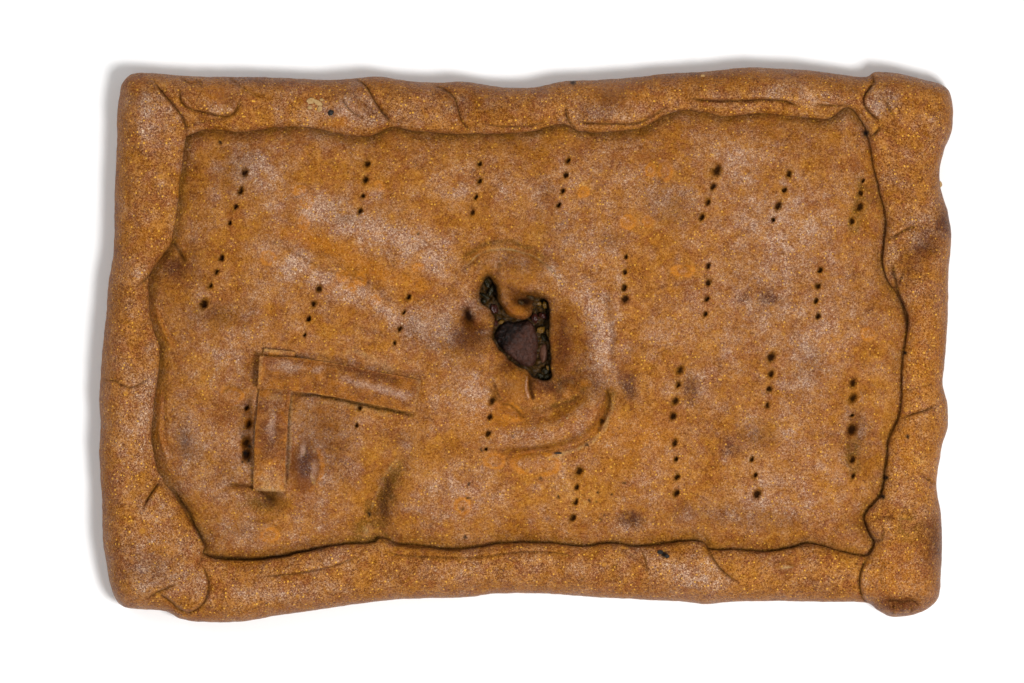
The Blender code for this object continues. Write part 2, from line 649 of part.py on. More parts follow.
def make_filling_piece(name, centre, radii, colour):
    """A rough lump that lies in the hollow of the filling, under the vent."""
    shape = bmesh.new()
    bmesh.ops.create_icosphere(shape, subdivisions=2 if max(radii) < FINE_FROM else 3, radius=1.0)
    spot = plan([centre])[0]
    directions = np.array([vertex.co for vertex in shape.verts])
    rise, size = PIECE_LUMPS
    lumps = 1.0 + rise * noise(directions[:, :2] + directions[:, 2:], size, len(name))
    forms = directions * lumps[:, None] * radii
    ground = filling_top(spot + forms[:, :2]).max()
    heights = forms[:, 2] - forms[:, 2].min() + ground + GAP
    for vertex, form, height in zip(shape.verts, forms, heights):
        vertex.co = Vector((spot[0] + form[0], spot[1] + form[1], height)) * MM
    mesh = bpy.data.meshes.new(name)
    shape.to_mesh(mesh)
    shape.free()
    mesh.shade_smooth()
    mesh.materials.append(make_material(name, colour, PIECE_ROUGHNESS))
    bpy.context.collection.objects.link(bpy.data.objects.new(name, mesh))


def make_strip(name, view_line, width, underside, thickness):
    """A flat bar of dough along a line; underside and thickness are functions of the plan place."""
    line = evenly(spline(plan(view_line), False), STRIP_RINGS)
    tangent = np.gradient(line, axis=0)
    normal = np.stack([-tangent[:, 1], tangent[:, 0]], 1) / np.linalg.norm(tangent, axis=1)[:, None]
    across = np.linspace(-1.0, 1.0, STRIP_SIDES)
    crown = quarter(STRIP_ROUND - np.abs(across))
    shell = Shell()
    rings = []
    for place, side in zip(line, normal):
        lower = place + 0.5 * width * across[:, None] * side
        upper = place + STRIP_TOP_SHARE * width * across[:, None] * side
        base = underside(lower)
        ring = [shell.ring(lower, base)]
        ring.append(shell.ring(upper[::-1], base[::-1] + thickness(upper[::-1]) * crown[::-1]))
        rings.append(np.concatenate(ring))
    for one, other in zip(rings, rings[1:]):
        shell.join(one, other)
    for end in (rings[0], rings[-1]):
        for k in range(STRIP_SIDES - 1):
            shell.faces.append((end[k], end[k + 1], end[-k - 1]))
            shell.faces.append((end[k + 1], end[-k - 2], end[-k - 1]))
    return shell.build(name, STRIP_COLOUR, STRIP_ROUGHNESS)


def make_strips():
    """The short strip lies on the lid, and the long one over the short one's upper end."""
    crossing = plan([CROSSING])[0]

    def under_long(points):
        """1 where the long strip crosses the short one."""
        away = np.linalg.norm(points - crossing, axis=1) / CROSSING_REACH
        return quarter(1.0 - np.clip(away - CROSSING_FLAT, 0.0, 1.0))

    def short_base(points):
        return lid_top(points) + GAP

    def short_thick(points):
        return STRIP_THICK - STRIP_SINK * under_long(points)

    def long_base(points):
        return lid_top(points) + GAP + (STRIP_THICK - STRIP_SINK + GAP) * under_long(points)

    make_strip("strip_short", SHORT_STRIP_VIEW, SHORT_STRIP_WIDTH, short_base, short_thick)
    make_strip("strip_long", LONG_STRIP_VIEW, LONG_STRIP_WIDTH, long_base, lambda points: STRIP_THICK)


for old in list(bpy.data.objects):
    bpy.data.objects.remove(old, do_unlink=True)
make_base_crust()
make_lid()
make_filling()
for piece in FILLING_PIECES:
    make_filling_piece(*piece)
make_strips()
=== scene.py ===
"""Looks of the Galician empanada: the crust's rim and lid, the strips on it and the filling in its vent.

Lengths are in millimetres, and MM turns them into metres. Places on the crust are written as points (u, v)
of the view from above, u to the right and v down, and plan() turns them into x and y. Turns are in degrees,
and a turn of 0 is left out of the lists of swellings, blisters and painted areas.
"""

import bmesh
import bpy
import numpy as np
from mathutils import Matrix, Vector
from mathutils.geometry import delaunay_2d_cdt
from mathutils.kdtree import KDTree


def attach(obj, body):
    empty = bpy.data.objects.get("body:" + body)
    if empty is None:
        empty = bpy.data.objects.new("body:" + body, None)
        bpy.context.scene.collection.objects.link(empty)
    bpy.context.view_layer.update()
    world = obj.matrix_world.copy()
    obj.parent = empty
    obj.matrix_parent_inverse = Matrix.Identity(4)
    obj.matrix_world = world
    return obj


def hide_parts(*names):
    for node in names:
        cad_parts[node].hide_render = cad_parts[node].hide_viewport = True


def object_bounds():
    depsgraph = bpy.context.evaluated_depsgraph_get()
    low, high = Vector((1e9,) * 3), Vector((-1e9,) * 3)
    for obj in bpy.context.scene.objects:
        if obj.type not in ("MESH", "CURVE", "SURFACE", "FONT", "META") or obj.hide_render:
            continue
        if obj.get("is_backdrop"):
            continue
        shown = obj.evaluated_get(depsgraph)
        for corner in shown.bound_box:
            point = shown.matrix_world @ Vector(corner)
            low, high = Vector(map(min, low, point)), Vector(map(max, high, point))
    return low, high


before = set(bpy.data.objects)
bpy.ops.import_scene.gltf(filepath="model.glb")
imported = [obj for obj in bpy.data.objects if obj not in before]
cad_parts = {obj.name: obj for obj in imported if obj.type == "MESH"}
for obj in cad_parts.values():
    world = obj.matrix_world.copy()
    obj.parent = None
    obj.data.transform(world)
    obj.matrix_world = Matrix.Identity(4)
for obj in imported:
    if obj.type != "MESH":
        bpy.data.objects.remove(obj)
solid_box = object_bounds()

MM = 0.001

# Plan scale
LENGTH = 360.0
VIEW_LENGTH = 857.0
VIEW_CENTRE = (526.1, 345.0)
VIEW_FRAME = (1024, 683)
SCALE = LENGTH / VIEW_LENGTH

# Heights, as in the solids
EDGE_Z = 9.0
CROWN_Z = 24.0
CROWN_SWAY = 1.3
LIP_Z = 19.0
UNDERSIDE_INSET = 4.5
WALL_ROUND = 11.0
LIP_ROUND = 7.0
SEAM_Z = 16.0
LID_THICK = 3.0
LID_TUCK = 4.0
LID_RISE = 7.5
LID_REACH = 13.0
DOME_RISE = 2.5
DOME_REACH = 75.0
FLOOR_THICK = 3.5
GAP = 0.35
SIDE_GAP = 0.5
LEDGE_Z = SEAM_Z - LID_THICK - GAP
RECESS = LID_TUCK + SIDE_GAP  # how far the rim's lip is hollowed out for the lid's edge
PIT_DEPTH = 8.0
PIT_CENTRE = (516, 329)
PIT_RADII = (26.0, 32.0)

THINNEST = 0.4  # what the deepest forms leave of the lid
HIGHEST_FOLD = 3.6  # how far a fold may stand above the crown

# Unevenness: (height or strength, size, seed) of each layer of noise
RIM_UNEVEN = ((0.45, 15.0, 51), (0.28, 7.0, 52), (0.12, 3.2, 53), (0.05, 1.5, 54))
LID_UNEVEN = ((0.42, 11.0, 61), (0.20, 5.5, 62), (0.09, 2.6, 63))
FILLING_UNEVEN = ((1.1, 4.2, 11), (0.9, 1.9, 12), (0.35, 0.95, 13))
BROAD_SHEEN_UNEVEN = ((0.16, 20.0, 75), (0.18, 8.0, 76), (0.10, 4.0, 77))

# How finely the forms are divided
OUTLINE_POINTS = 1500
SEAM_POINTS = 1250
VENT_POINTS = 190
RIM_SPACING = 0.80
LID_SPACING = 0.92
FILLING_SPACING = 0.45
CHUNK_SPACING = 0.36
FINE_STEP = 0.7
FOLD_NOSE = 2.0  # rounding of a lapped edge
FOLD_FADE = 0.22  # how quickly a fold starts and ends
CHUNK = 4096  # points looked at together
WALL_RINGS = (-0.1, -0.35, -0.8, -1.4, -2.1, -2.9, -3.8)
CURL_TURNS = (8, 18, 30, 44, 60, 75, 90)  # degrees, from the widest line to the underside
LIP_RINGS = (0.15, 0.45, 0.9, 1.5, 2.2)
LID_RINGS = ((1.5, 2), (0.4, 1), (-0.3, 1), (-0.9, 1), (-1.6, 1))  # (outward, every n-th point)
PRICK_RINGS = (0.45, 0.85, 1.12, 1.5, 2.0)  # times the prick's radius

# Rings behind the rim's lip, from the lip to the bottom: (outward, height, every n-th point)
RIM_HOLLOW = [
    (0.1, 18.0, 1), (0.4, 17.2, 1), (0.9, 16.7, 1), (1.6, SEAM_Z + GAP, 2), (RECESS, SEAM_Z + GAP, 4),
    (RECESS, LEDGE_Z, 4), (1.5, LEDGE_Z, 4), (-0.4, FLOOR_THICK, 4),
]

# Outline of the pie, clockwise from the left end of the top side
OUTLINE_VIEW = [
    (137, 72), (187, 75), (223, 76), (261, 76), (302, 78), (335, 79), (360, 76.7), (380, 75.7), (410, 80.3),
    (439, 81.6), (459, 80.5), (480, 83), (506, 86.5), (534, 86.5), (552, 83), (568, 79.8), (599, 79),
    (640, 75.8), (668, 72.5), (692, 71.5), (712, 70), (738, 67), (761, 66.8), (806, 69), (840, 73.4),
    (866, 76), (877, 71), (900, 72.7), (930, 80), (944, 84), (951, 92), (954.2, 108), (953, 130),
    (946, 149), (941.5, 167), (942, 188), (949, 211), (952.5, 238), (950, 272), (949, 320), (945.7, 366),
    (944, 384), (949, 406), (949, 426), (943, 448), (938.5, 476), (938, 492), (942, 511), (943.5, 540),
    (941.6, 585), (938, 601), (928, 610), (912, 616.5), (892, 617.5), (878, 611), (866, 603.6),
    (830, 602.7), (748, 602), (708, 605), (674, 602), (600, 598.5), (550, 594.6), (500, 594.4),
    (460, 598.6), (400, 600), (360, 604.6), (320, 610.5), (274, 617), (241, 622.6), (202, 623), (181, 620),
    (164, 612), (140, 610.5), (122, 607), (113, 597), (107, 574), (101.5, 537), (101, 505), (98, 455),
    (99.5, 428), (98, 400), (101, 353), (104.6, 316), (107.7, 279.5), (112.5, 250), (113.5, 190),
    (116, 139), (115.5, 119), (118.5, 94), (122, 81.5),
]

# The seam, where the lip of the rim ends on the lid, clockwise from the top left corner
SEAM_VIEW = [
    (189, 136), (205, 129.5), (225, 131), (240, 133), (262, 129.5), (290, 127), (312, 129), (340, 134),
    (360, 136.8), (378, 133.5), (393, 127.5), (412, 131), (440, 133.5), (480, 134), (525, 133), (545, 128),
    (565, 124.5), (578, 130.5), (600, 133), (628, 131), (647, 125.5), (665, 115.5), (684, 110), (704, 113),
    (726, 117), (760, 113.8), (800, 117), (828, 119), (842, 109), (852, 109), (861, 120), (866, 131),
    (870, 144), (874, 166), (880, 193), (886, 215), (885.5, 236), (883, 258), (887, 279), (898, 295),
    (908, 315), (906, 341), (902, 370), (901, 412), (890, 438), (886.5, 465), (882, 493), (868, 511),
    (864.5, 520), (870, 534), (875, 543), (867, 556), (840, 551), (812, 544), (785, 549), (765, 551.5),
    (735, 549.5), (711, 550), (702, 541.8), (680, 542), (640, 547), (613, 543), (585, 546), (550, 543.5),
    (510, 543), (460, 549), (430, 547), (398, 543.5), (381, 538), (372, 543), (340, 545), (300, 553),
    (262, 559.5), (225, 560), (204, 554), (205, 544), (193, 525), (178, 500), (160, 474), (152, 440),
    (155, 400), (160, 352), (153, 326), (149, 295), (152, 271), (168, 250), (175.5, 225), (180, 185),
    (186, 140),
]

# The torn vent, clockwise, with the tongue of dough that hangs in from its upper edge
VENT_VIEW = [
    (489.5, 276), (494, 283), (498, 293), (499.5, 302), (505, 310.5), (513, 317), (522, 319), (529.5, 316),
    (533, 308), (538, 300.5), (545, 300), (549.5, 310), (549.5, 340), (551, 366), (551.5, 376), (545, 381),
    (534, 377), (526, 370.5), (511, 361), (498, 347), (492, 336), (495, 326), (491, 311), (482, 303),
    (480.5, 290), (484, 279),
]
VENT_MIDDLE = (522, 340)
TONGUE_MIDDLE = (514, 310)

# Folds: (line, height of the step, how far the higher side falls back, depth of the crease). The dough on
# the left of a line, walked from its first point to its last, lies over the dough on its right.
RIM_FOLDS = [
    ([(188, 134), (184, 120), (176, 108), (164, 94), (153, 80)], 1.6, 16, 1.2),
    ([(180, 88), (181, 101), (190, 109), (206, 113), (226, 117), (236, 111), (241, 98)], 1.5, 10, 1.0),
    ([(393, 125), (381, 110), (373, 98), (366, 86), (354, 78)], 2.4, 14, 1.2),
    ([(472, 132), (462, 121), (458, 108), (454, 97), (445, 90), (432, 84)], 1.6, 14, 0.8),
    ([(565, 105), (566, 115), (569, 122), (576, 129)], 1.2, 10, 1.0),
    ([(576, 123), (600, 124), (634, 124), (651, 117), (668, 106)], 1.0, 6, 0.9),
    ([(688, 99), (712, 101), (745, 101), (765, 100), (786, 102), (800, 108)], 1.9, 10, 1.3),
    ([(812, 105), (832, 106), (850, 106)], 1.3, 10, 0.8),
    ([(872, 72), (874, 82), (866, 93), (863, 100), (866, 109), (874, 117), (882, 123)], 2.0, 14, 1.3),
    ([(882, 124), (875, 133), (868, 139)], 1.6, 12, 1.2),
    ([(884, 240), (893, 237), (905, 230), (918, 225)], 1.5, 14, 1.1),
    ([(936, 405), (925, 410), (912, 414), (901, 418)], 1.5, 14, 1.0),
    ([(867, 556), (861, 570), (859, 583), (862, 596), (869, 605)], 2.4, 18, 1.3),
    ([(738, 582), (722, 570), (712, 556), (705, 543)], 1.8, 16, 1.0),
    ([(137, 287), (150, 275), (162, 258), (172, 243)], 2.0, 18, 1.2),
    ([(162, 478), (149, 497), (143, 510)], 1.4, 16, 0.9),
    ([(145, 600), (160, 591), (180, 583)], 1.2, 12, 0.7),
    ([(158, 593), (170, 601), (178, 608), (188, 613), (200, 607), (207, 597), (209, 582),
    (203, 564)], 1.8, 12, 1.0), ([(365, 120), (350, 110), (340, 96)], 0.9, 9, 0.5),
    ([(393, 124), (397, 122), (404, 119)], 0.7, 5, 0.8),
    ([(480, 124), (505, 127), (530, 126), (548, 121)], 0.5, 5, 0.6),
    ([(888, 97), (887, 105), (891, 113), (896, 120)], 0.9, 8, 0.7),
    ([(920, 476), (930, 481), (938, 485)], 0.9, 9, 0.7),
    ([(864, 520), (870, 533), (878, 541)], 0.9, 8, 0.8),
    ([(880, 541), (884, 532), (881, 524)], 0.7, 6, 0.8),
    ([(880, 517), (888, 517), (896, 519)], 0.5, 6, 0.6),
    ([(640, 546), (645, 560), (647, 571)], 0.7, 8, 0.5),
    ([(608, 571), (614, 566), (621, 560)], 0.5, 6, 0.5),
    ([(385, 550), (400, 555), (440, 557), (480, 557), (520, 552), (560, 553), (575, 558)], 0.6, 6, 0.5),
    ([(260, 577), (300, 573), (330, 567), (350, 560), (362, 556)], 0.7, 9, 0.5),
    ([(99, 380), (115, 381), (122, 385), (131, 388), (140, 384), (151, 378)], 0.6, 10, 0.6),
    ([(206, 548), (203, 555), (198, 567)], 0.6, 6, 0.6),
    ([(893, 300), (899, 283), (905, 268)], 0.7, 6, 0.6),
    ([(143, 508), (147, 500), (160, 480)], 0.6, 8, 0.5),
]

# Small creases and cracks of the rim and the lid: (line, depth, half width)
CREASES = [
    ([(179, 77), (187, 82), (193, 84), (199, 81), (202, 88)], 0.6, 0.5),
    ([(188, 125), (205, 122), (222, 119), (231, 115)], 0.4, 0.6),
    ([(173, 240), (178, 250), (186, 262)], 1.2, 0.8),
    ([(228, 485), (250, 487), (265, 495), (275, 505)], 0.9, 0.8),
    ([(246, 520), (262, 521), (280, 515)], 0.4, 0.8), ([(400, 462), (408, 458), (417, 457)], 0.3, 0.6),
    ([(470, 172), (476, 168), (480, 170)], 0.25, 0.5),
    ([(499, 405), (508, 404), (517, 410), (523, 419)], 0.8, 0.6),
    ([(531, 378), (530, 389), (534, 400)], 1.2, 0.7), ([(488, 386), (494, 394), (499, 404)], 0.6, 0.6),
    ([(492, 378), (495, 386), (493, 392)], 0.4, 0.6), ([(545, 383), (552, 390), (556, 400)], 0.5, 0.5),
    ([(607, 388), (609, 402), (603, 419), (597, 432)], 0.8, 0.6),
    ([(222, 392), (232, 387), (243, 391)], 0.5, 0.6), ([(655, 172), (661, 163), (671, 165)], 0.3, 0.6),
    ([(498, 262), (499, 270), (496, 277)], 0.5, 0.7),
    ([(463, 273), (480, 254), (500, 249.5), (522, 252), (541, 261), (556, 273), (566, 285)], 0.3, 0.45),
    ([(263, 237), (297, 253), (323, 268), (343, 273), (370, 283), (388, 299)], 0.3, 0.5),
    ([(345, 92), (357, 104), (372, 116)], 0.3, 0.4), ([(350, 90), (362, 102), (377, 115)], 0.3, 0.4),
    ([(448, 95), (453, 104), (456, 112)], 0.3, 0.4), ([(480, 100), (490, 96), (502, 97)], 0.2, 0.4),
    ([(296, 188), (305, 184), (314, 190)], 0.25, 0.5), ([(829, 434), (834, 434), (838, 430)], 0.35, 0.4),
    ([(884, 602), (892, 600), (902, 602), (912, 600), (919, 606)], 0.9, 0.5),
    ([(893, 604), (894, 614)], 0.7, 0.5), ([(902, 604), (902, 614)], 0.5, 0.5),
    ([(910, 603), (912, 613)], 0.7, 0.5), ([(872, 518), (882, 517), (895, 518)], 0.5, 0.5),
    ([(866, 526), (872, 538), (880, 541), (882, 532)], 0.9, 0.6),
    ([(884, 560), (880, 575), (884, 590)], 0.4, 0.6), ([(772, 562), (784, 561), (796, 566)], 0.5, 0.5),
    ([(617, 548), (633, 555), (644, 566), (647, 574)], 0.5, 0.6),
    ([(226, 70), (232, 80), (250, 92), (262, 98)], 0.5, 0.5),
    ([(920, 472), (930, 480), (938, 486)], 0.5, 0.5), ([(900, 392), (915, 388), (935, 383)], 0.3, 0.4),
    ([(766, 512), (772, 514), (777, 513)], 0.3, 0.4), ([(458, 268), (452, 290), (458, 300)], 0.25, 0.5),
    ([(352, 322), (366, 330), (384, 332)], 0.25, 0.5),
]

# Swellings and hollows of the rim: (u, v, two radii in millimetres, height, turn)
RIM_SWELLINGS = [
    (907, 578, 11, 11, 1.8), (900, 609, 8, 3.5, 1.4), (889, 611, 1.9, 1.9, 1.3), (897, 613, 1.8, 1.5, 1.2),
    (904, 609, 1.6, 1.6, 1.3), (911, 612, 1.8, 1.4, 1.2), (905, 105, 16, 14, 1.2), (155, 548, 20, 22, 1.5),
    (845, 583, 14, 8, -1.2), (690, 575, 16, 10, 1.5, -20), (352, 104, 12, 6, 1.2, -40),
    (613, 100, 10, 7, 1.2), (786, 568, 5, 2.4, 1.1, 10), (148, 345, 4, 9, -2.2), (149, 450, 4, 10, -2.2),
    (162, 478, 4, 4, -1.6), (898, 283, 4, 10, -2.0, 15), (866, 133, 2, 2, -2.2), (875, 73, 2.6, 1.8, 1.3),
    (693, 73, 5, 1.6, 0.8, 8), (236, 617, 4, 1.6, 0.8, 8),
]

# Forms of the lid: ridges and grooves as (line, half width, height), and swellings as above
LID_RIDGES = [
    ([(482, 428), (505, 437), (532, 438), (560, 430), (585, 414), (600, 390)], 5.0, 3.2),
    ([(602, 384), (604, 350), (600, 320), (590, 296)], 7.0, 2.2),
    ([(482, 268), (505, 262), (535, 272), (560, 290), (584, 300)], 5.5, 1.5),
    ([(500, 458), (520, 453), (549, 449), (576, 444), (596, 430), (606, 412), (611, 388)], 1.5, -2.3),
    ([(500, 410), (524, 417), (552, 413), (580, 397)], 2.4, -2.3),
    ([(561, 302), (567, 335), (567, 374)], 4.6, -2.4),
    ([(499, 276), (503, 290), (507, 302), (516, 309)], 3.4, 1.7),
    ([(503, 303), (511, 311.5), (521, 314.5), (530, 312)], 1.1, 1.3),
    ([(520, 285), (536, 290), (546, 296)], 3.0, 1.0),
    ([(468, 262), (486, 247), (506, 244), (530, 250), (552, 263)], 2.2, -0.8),
    ([(400, 458), (388, 480), (376, 508), (371, 536)], 6.5, -3.4),
    ([(228, 486), (252, 490), (270, 500), (276, 507)], 2.0, -1.4),
    ([(153, 304), (160, 324), (170, 344)], 1.4, 2.4),
    ([(158, 384), (158, 412), (159, 436), (167, 456)], 1.4, 2.2),
    ([(155, 306), (164, 324), (174, 342)], 0.8, -1.0),
    ([(163, 386), (163, 412), (164, 436), (171, 454)], 0.8, -1.0),
    ([(246, 436), (247, 449), (250, 463)], 1.8, -1.8), ([(247, 398), (248, 412), (249, 430)], 1.5, -0.9),
    ([(853, 436), (852, 446), (852, 458)], 1.6, -1.0), ([(853, 385), (853, 410), (852, 430)], 1.3, -0.5),
    ([(864, 178), (862, 195), (856, 215), (851, 236)], 1.6, -0.8),
    ([(474, 306), (482, 318), (484, 332)], 2.6, -1.2), ([(529, 374), (526, 388), (531, 401)], 1.3, 1.9),
    ([(489, 388), (502, 400), (520, 418)], 1.6, 0.6), ([(562, 384), (568, 394), (574, 406)], 1.6, -1.0),
    ([(292, 186), (322, 212), (360, 228), (405, 240), (450, 274)], 6.0, 1.7),
    ([(276, 234), (317, 244), (350, 258), (386, 279), (436, 290)], 4.2, -1.5),
    ([(272, 250), (306, 270), (345, 288), (388, 310), (440, 332), (462, 345)], 6.5, 1.7),
    ([(430, 130), (432, 150), (438, 176)], 9.0, 0.5), ([(655, 150), (668, 190), (690, 230)], 9.0, 0.7),
    ([(745, 150), (740, 200), (756, 250)], 9.0, -0.7),
    ([(620, 345), (655, 352), (700, 340), (740, 320)], 8.0, -0.7),
    ([(640, 410), (648, 450), (640, 500)], 9.0, 0.7), ([(712, 420), (716, 460), (706, 505)], 9.0, -0.7),
    ([(790, 330), (800, 380), (806, 440)], 10.0, 0.8), ([(560, 500), (600, 506), (650, 502)], 6.0, 0.6),
]
LID_SWELLINGS = [
    (280, 455, 40, 38, 2.2), (268, 503, 7, 4, -2.8), (306, 466, 6.2, 10.5, 1.2), (250, 168, 12, 9, 1.0),
    (745, 290, 16, 14, 1.2), (640, 200, 30, 20, 0.9), (760, 480, 40, 22, 1.2), (475, 500, 30, 12, 1.2),
    (524, 334, 20, 26, -1.8), (550, 392, 7.0, 4.2, -3.2, 12), (511, 388, 4.5, 5.5, 1.7),
    (470, 317, 1.7, 2.9, -3.2), (480, 332, 5, 2.2, 0.8), (481, 319, 3, 3, 0.9),
    (525, 300.5, 3.2, 2.1, -4.6, -15), (318, 190, 3, 3, 0.4), (330, 462, 6, 8, -0.5),
    (500, 190, 9, 14, 0.7, 20), (660, 330, 12, 20, -0.6), (590, 250, 14, 9, 0.7), (430, 330, 12, 9, 1.0),
    (440, 400, 9, 12, 0.9), (470, 365, 8, 14, 0.9, 10), (815, 220, 14, 12, 0.9), (850, 330, 12, 10, 0.9),
    (700, 520, 20, 7, 0.8), (725, 450, 6, 6, 0.7), (632, 520, 7, 5, -0.6), (605, 270, 5, 12, 0.6, 10),
    (180, 268, 7, 6, -0.8), (240, 330, 14, 9, 0.8, -20), (200, 220, 9, 16, 0.7), (428, 502, 9, 14, 0.8),
]

# Flat blisters with a darker rim, written like the swellings
BLISTERS = [
    (536, 464, 11.2, 5.4, 1.1, -3), (495, 461, 4.4, 3.3, 0.7), (307, 202, 2.6, 2.8, 0.5),
    (268, 258, 3.0, 3.0, 0.6), (304, 222, 2.2, 3.0, 0.4), (343, 277, 2.4, 2.2, 0.6),
    (361, 279, 2.2, 2.6, 0.6), (352, 288, 1.8, 1.6, 0.5), (583, 192, 2.1, 2.1, 0.4),
    (628, 222, 3.2, 3.0, 0.4), (648, 222, 2.2, 2.2, 0.4), (650, 170, 2.0, 2.6, 0.4),
    (665, 172, 3.0, 3.8, 0.5, 10), (683, 271, 4.6, 2.4, 0.5), (232, 396, 5.2, 3.8, 0.6),
    (511, 412, 5.4, 3.4, 0.9, -35), (306, 466, 6.6, 12.0, 1.2), (463, 506, 3.4, 3.6, 0.3),
    (380, 186, 1.8, 1.8, 0.3), (418, 268, 2.0, 1.6, 0.3), (868, 334, 3.0, 2.6, 0.4),
    (376, 300, 1.8, 1.8, 0.4), (300, 190, 2.4, 1.5, 0.3, 20), (270, 535, 4.0, 3.0, 0.4),
]

# Rows of pricks from a fork: the places of the holes and how large each is
PRICK_ROWS = [
    [(245, 173, 1.2), (241, 191, 1.1), (236, 207, 0.8), (230, 223, 0.9)],
    [(367.5, 164, 1.3), (366, 180, 1.1), (363, 196, 0.8), (360.5, 211, 1.0)],
    [(480, 164, 0.9), (480, 181, 1.0), (476, 197, 0.9), (473, 212, 1.2)],
    [(568, 160, 1.0), (566, 175, 0.9), (563, 191, 0.9), (559, 205, 0.9)],
    [(717, 170, 1.7), (713, 187, 1.1), (708, 202, 1.1), (702, 217, 1.0)],
    [(789, 174, 1.2), (784, 190, 1.0), (778, 206, 1.3), (773, 220, 0.9)],
    [(863, 181, 0.7), (861, 193, 0.9), (860, 207, 1.6), (852, 221, 0.9)],
    [(222, 258, 1.0), (217, 272, 1.0), (211, 286, 0.9), (204, 304, 1.5)],
    [(319, 289, 1.3), (314, 304, 1.1), (309, 319, 0.9), (305, 335, 0.7)],
    [(409, 297, 0.9), (404, 312, 0.7), (400, 329, 0.9), (395, 343, 0.8)],
    [(626, 257, 0.9), (625, 272, 0.9), (624, 288, 1.1), (625, 299, 1.3)],
    [(708, 266, 0.9), (708, 283, 1.0), (707, 299, 1.0), (705, 314, 0.9)],
    [(820, 270, 1.0), (818, 286, 0.9), (816, 301, 0.9), (818, 316, 0.9)],
    [(247, 408, 0.9), (249, 424, 1.3), (246, 443, 1.5), (247, 455, 1.7)],
    [(492, 401, 1.2), (490, 417, 1.0), (488, 434, 1.0), (486, 449, 0.5)],
    [(680, 370, 1.2), (678, 385, 0.9), (675, 401, 1.2), (673, 416, 1.3)],
    [(674.5, 443, 1.1), (676, 459, 0.9), (677, 477, 1.0), (676, 493, 1.2)],
    [(771, 357, 1.5), (771, 374, 1.2), (769, 389, 1.0), (767, 405, 1.1)],
    [(752, 459, 0.8), (755, 475, 0.9), (757, 494, 1.6)],
    [(853, 383, 1.3), (853, 398, 1.4), (852, 415, 0.5), (852, 430, 1.8)],
    [(852, 460, 1.3), (853, 476, 0.9)],
    [(579, 471, 1.4), (577, 487, 1.0), (576, 502, 1.1), (573, 518, 1.1)],
    [(602, 421, 1.0), (360, 408, 0.8), (357, 425, 0.8)],
]
PRICK_RADIUS = 0.88
PRICK_DEPTH = 2.7
PRICK_STRETCH = 0.34  # how much longer than wide a prick is
PRICK_LEAN = np.array([0.45, 0.89])  # the direction in which it is longer
PRICK_SLANT = (0.55, -0.30)  # how far to the side a prick's lit wall shows

# The two strips of dough: centre lines, widths and thickness
SHORT_STRIP_VIEW = [(280, 350), (275, 395), (271, 440), (269.5, 491)]
LONG_STRIP_VIEW = [(259, 372), (290, 374), (323, 378), (370, 387), (418, 396.5)]
SHORT_STRIP_WIDTH = 13.6
LONG_STRIP_WIDTH = 14.2
STRIP_THICK = 3.6
STRIP_SINK = 1.0  # how much thinner the short strip is under the long one
STRIP_BITE = 0.15  # how far a strip sinks into the lid
CROSSING_VIEW = (277, 372)  # where the long one lies over the short one
CROSSING_REACH = 11.0

# The meat in the vent: outlines and ridges, and how steeply it falls off on the ridge's left and right
MEAT_VIEW = [
    (493.5, 335), (499, 326), (505, 321.5), (518, 322), (530, 321), (536, 330), (538.5, 343), (537, 357),
    (532, 367), (524, 366), (511, 358), (499, 346),
]
MEAT_RIDGE = [(530, 317), (517, 336), (504, 352), (494, 372)]
SLIVER_VIEW = [(541, 346), (546, 344.5), (548.5, 351), (547, 360), (542, 363.5), (539.5, 356)]
SLIVER_RIDGE = [(546, 340), (545, 355), (544, 368)]
LEFT_FALL = 0.16
RIGHT_FALL = 0.34

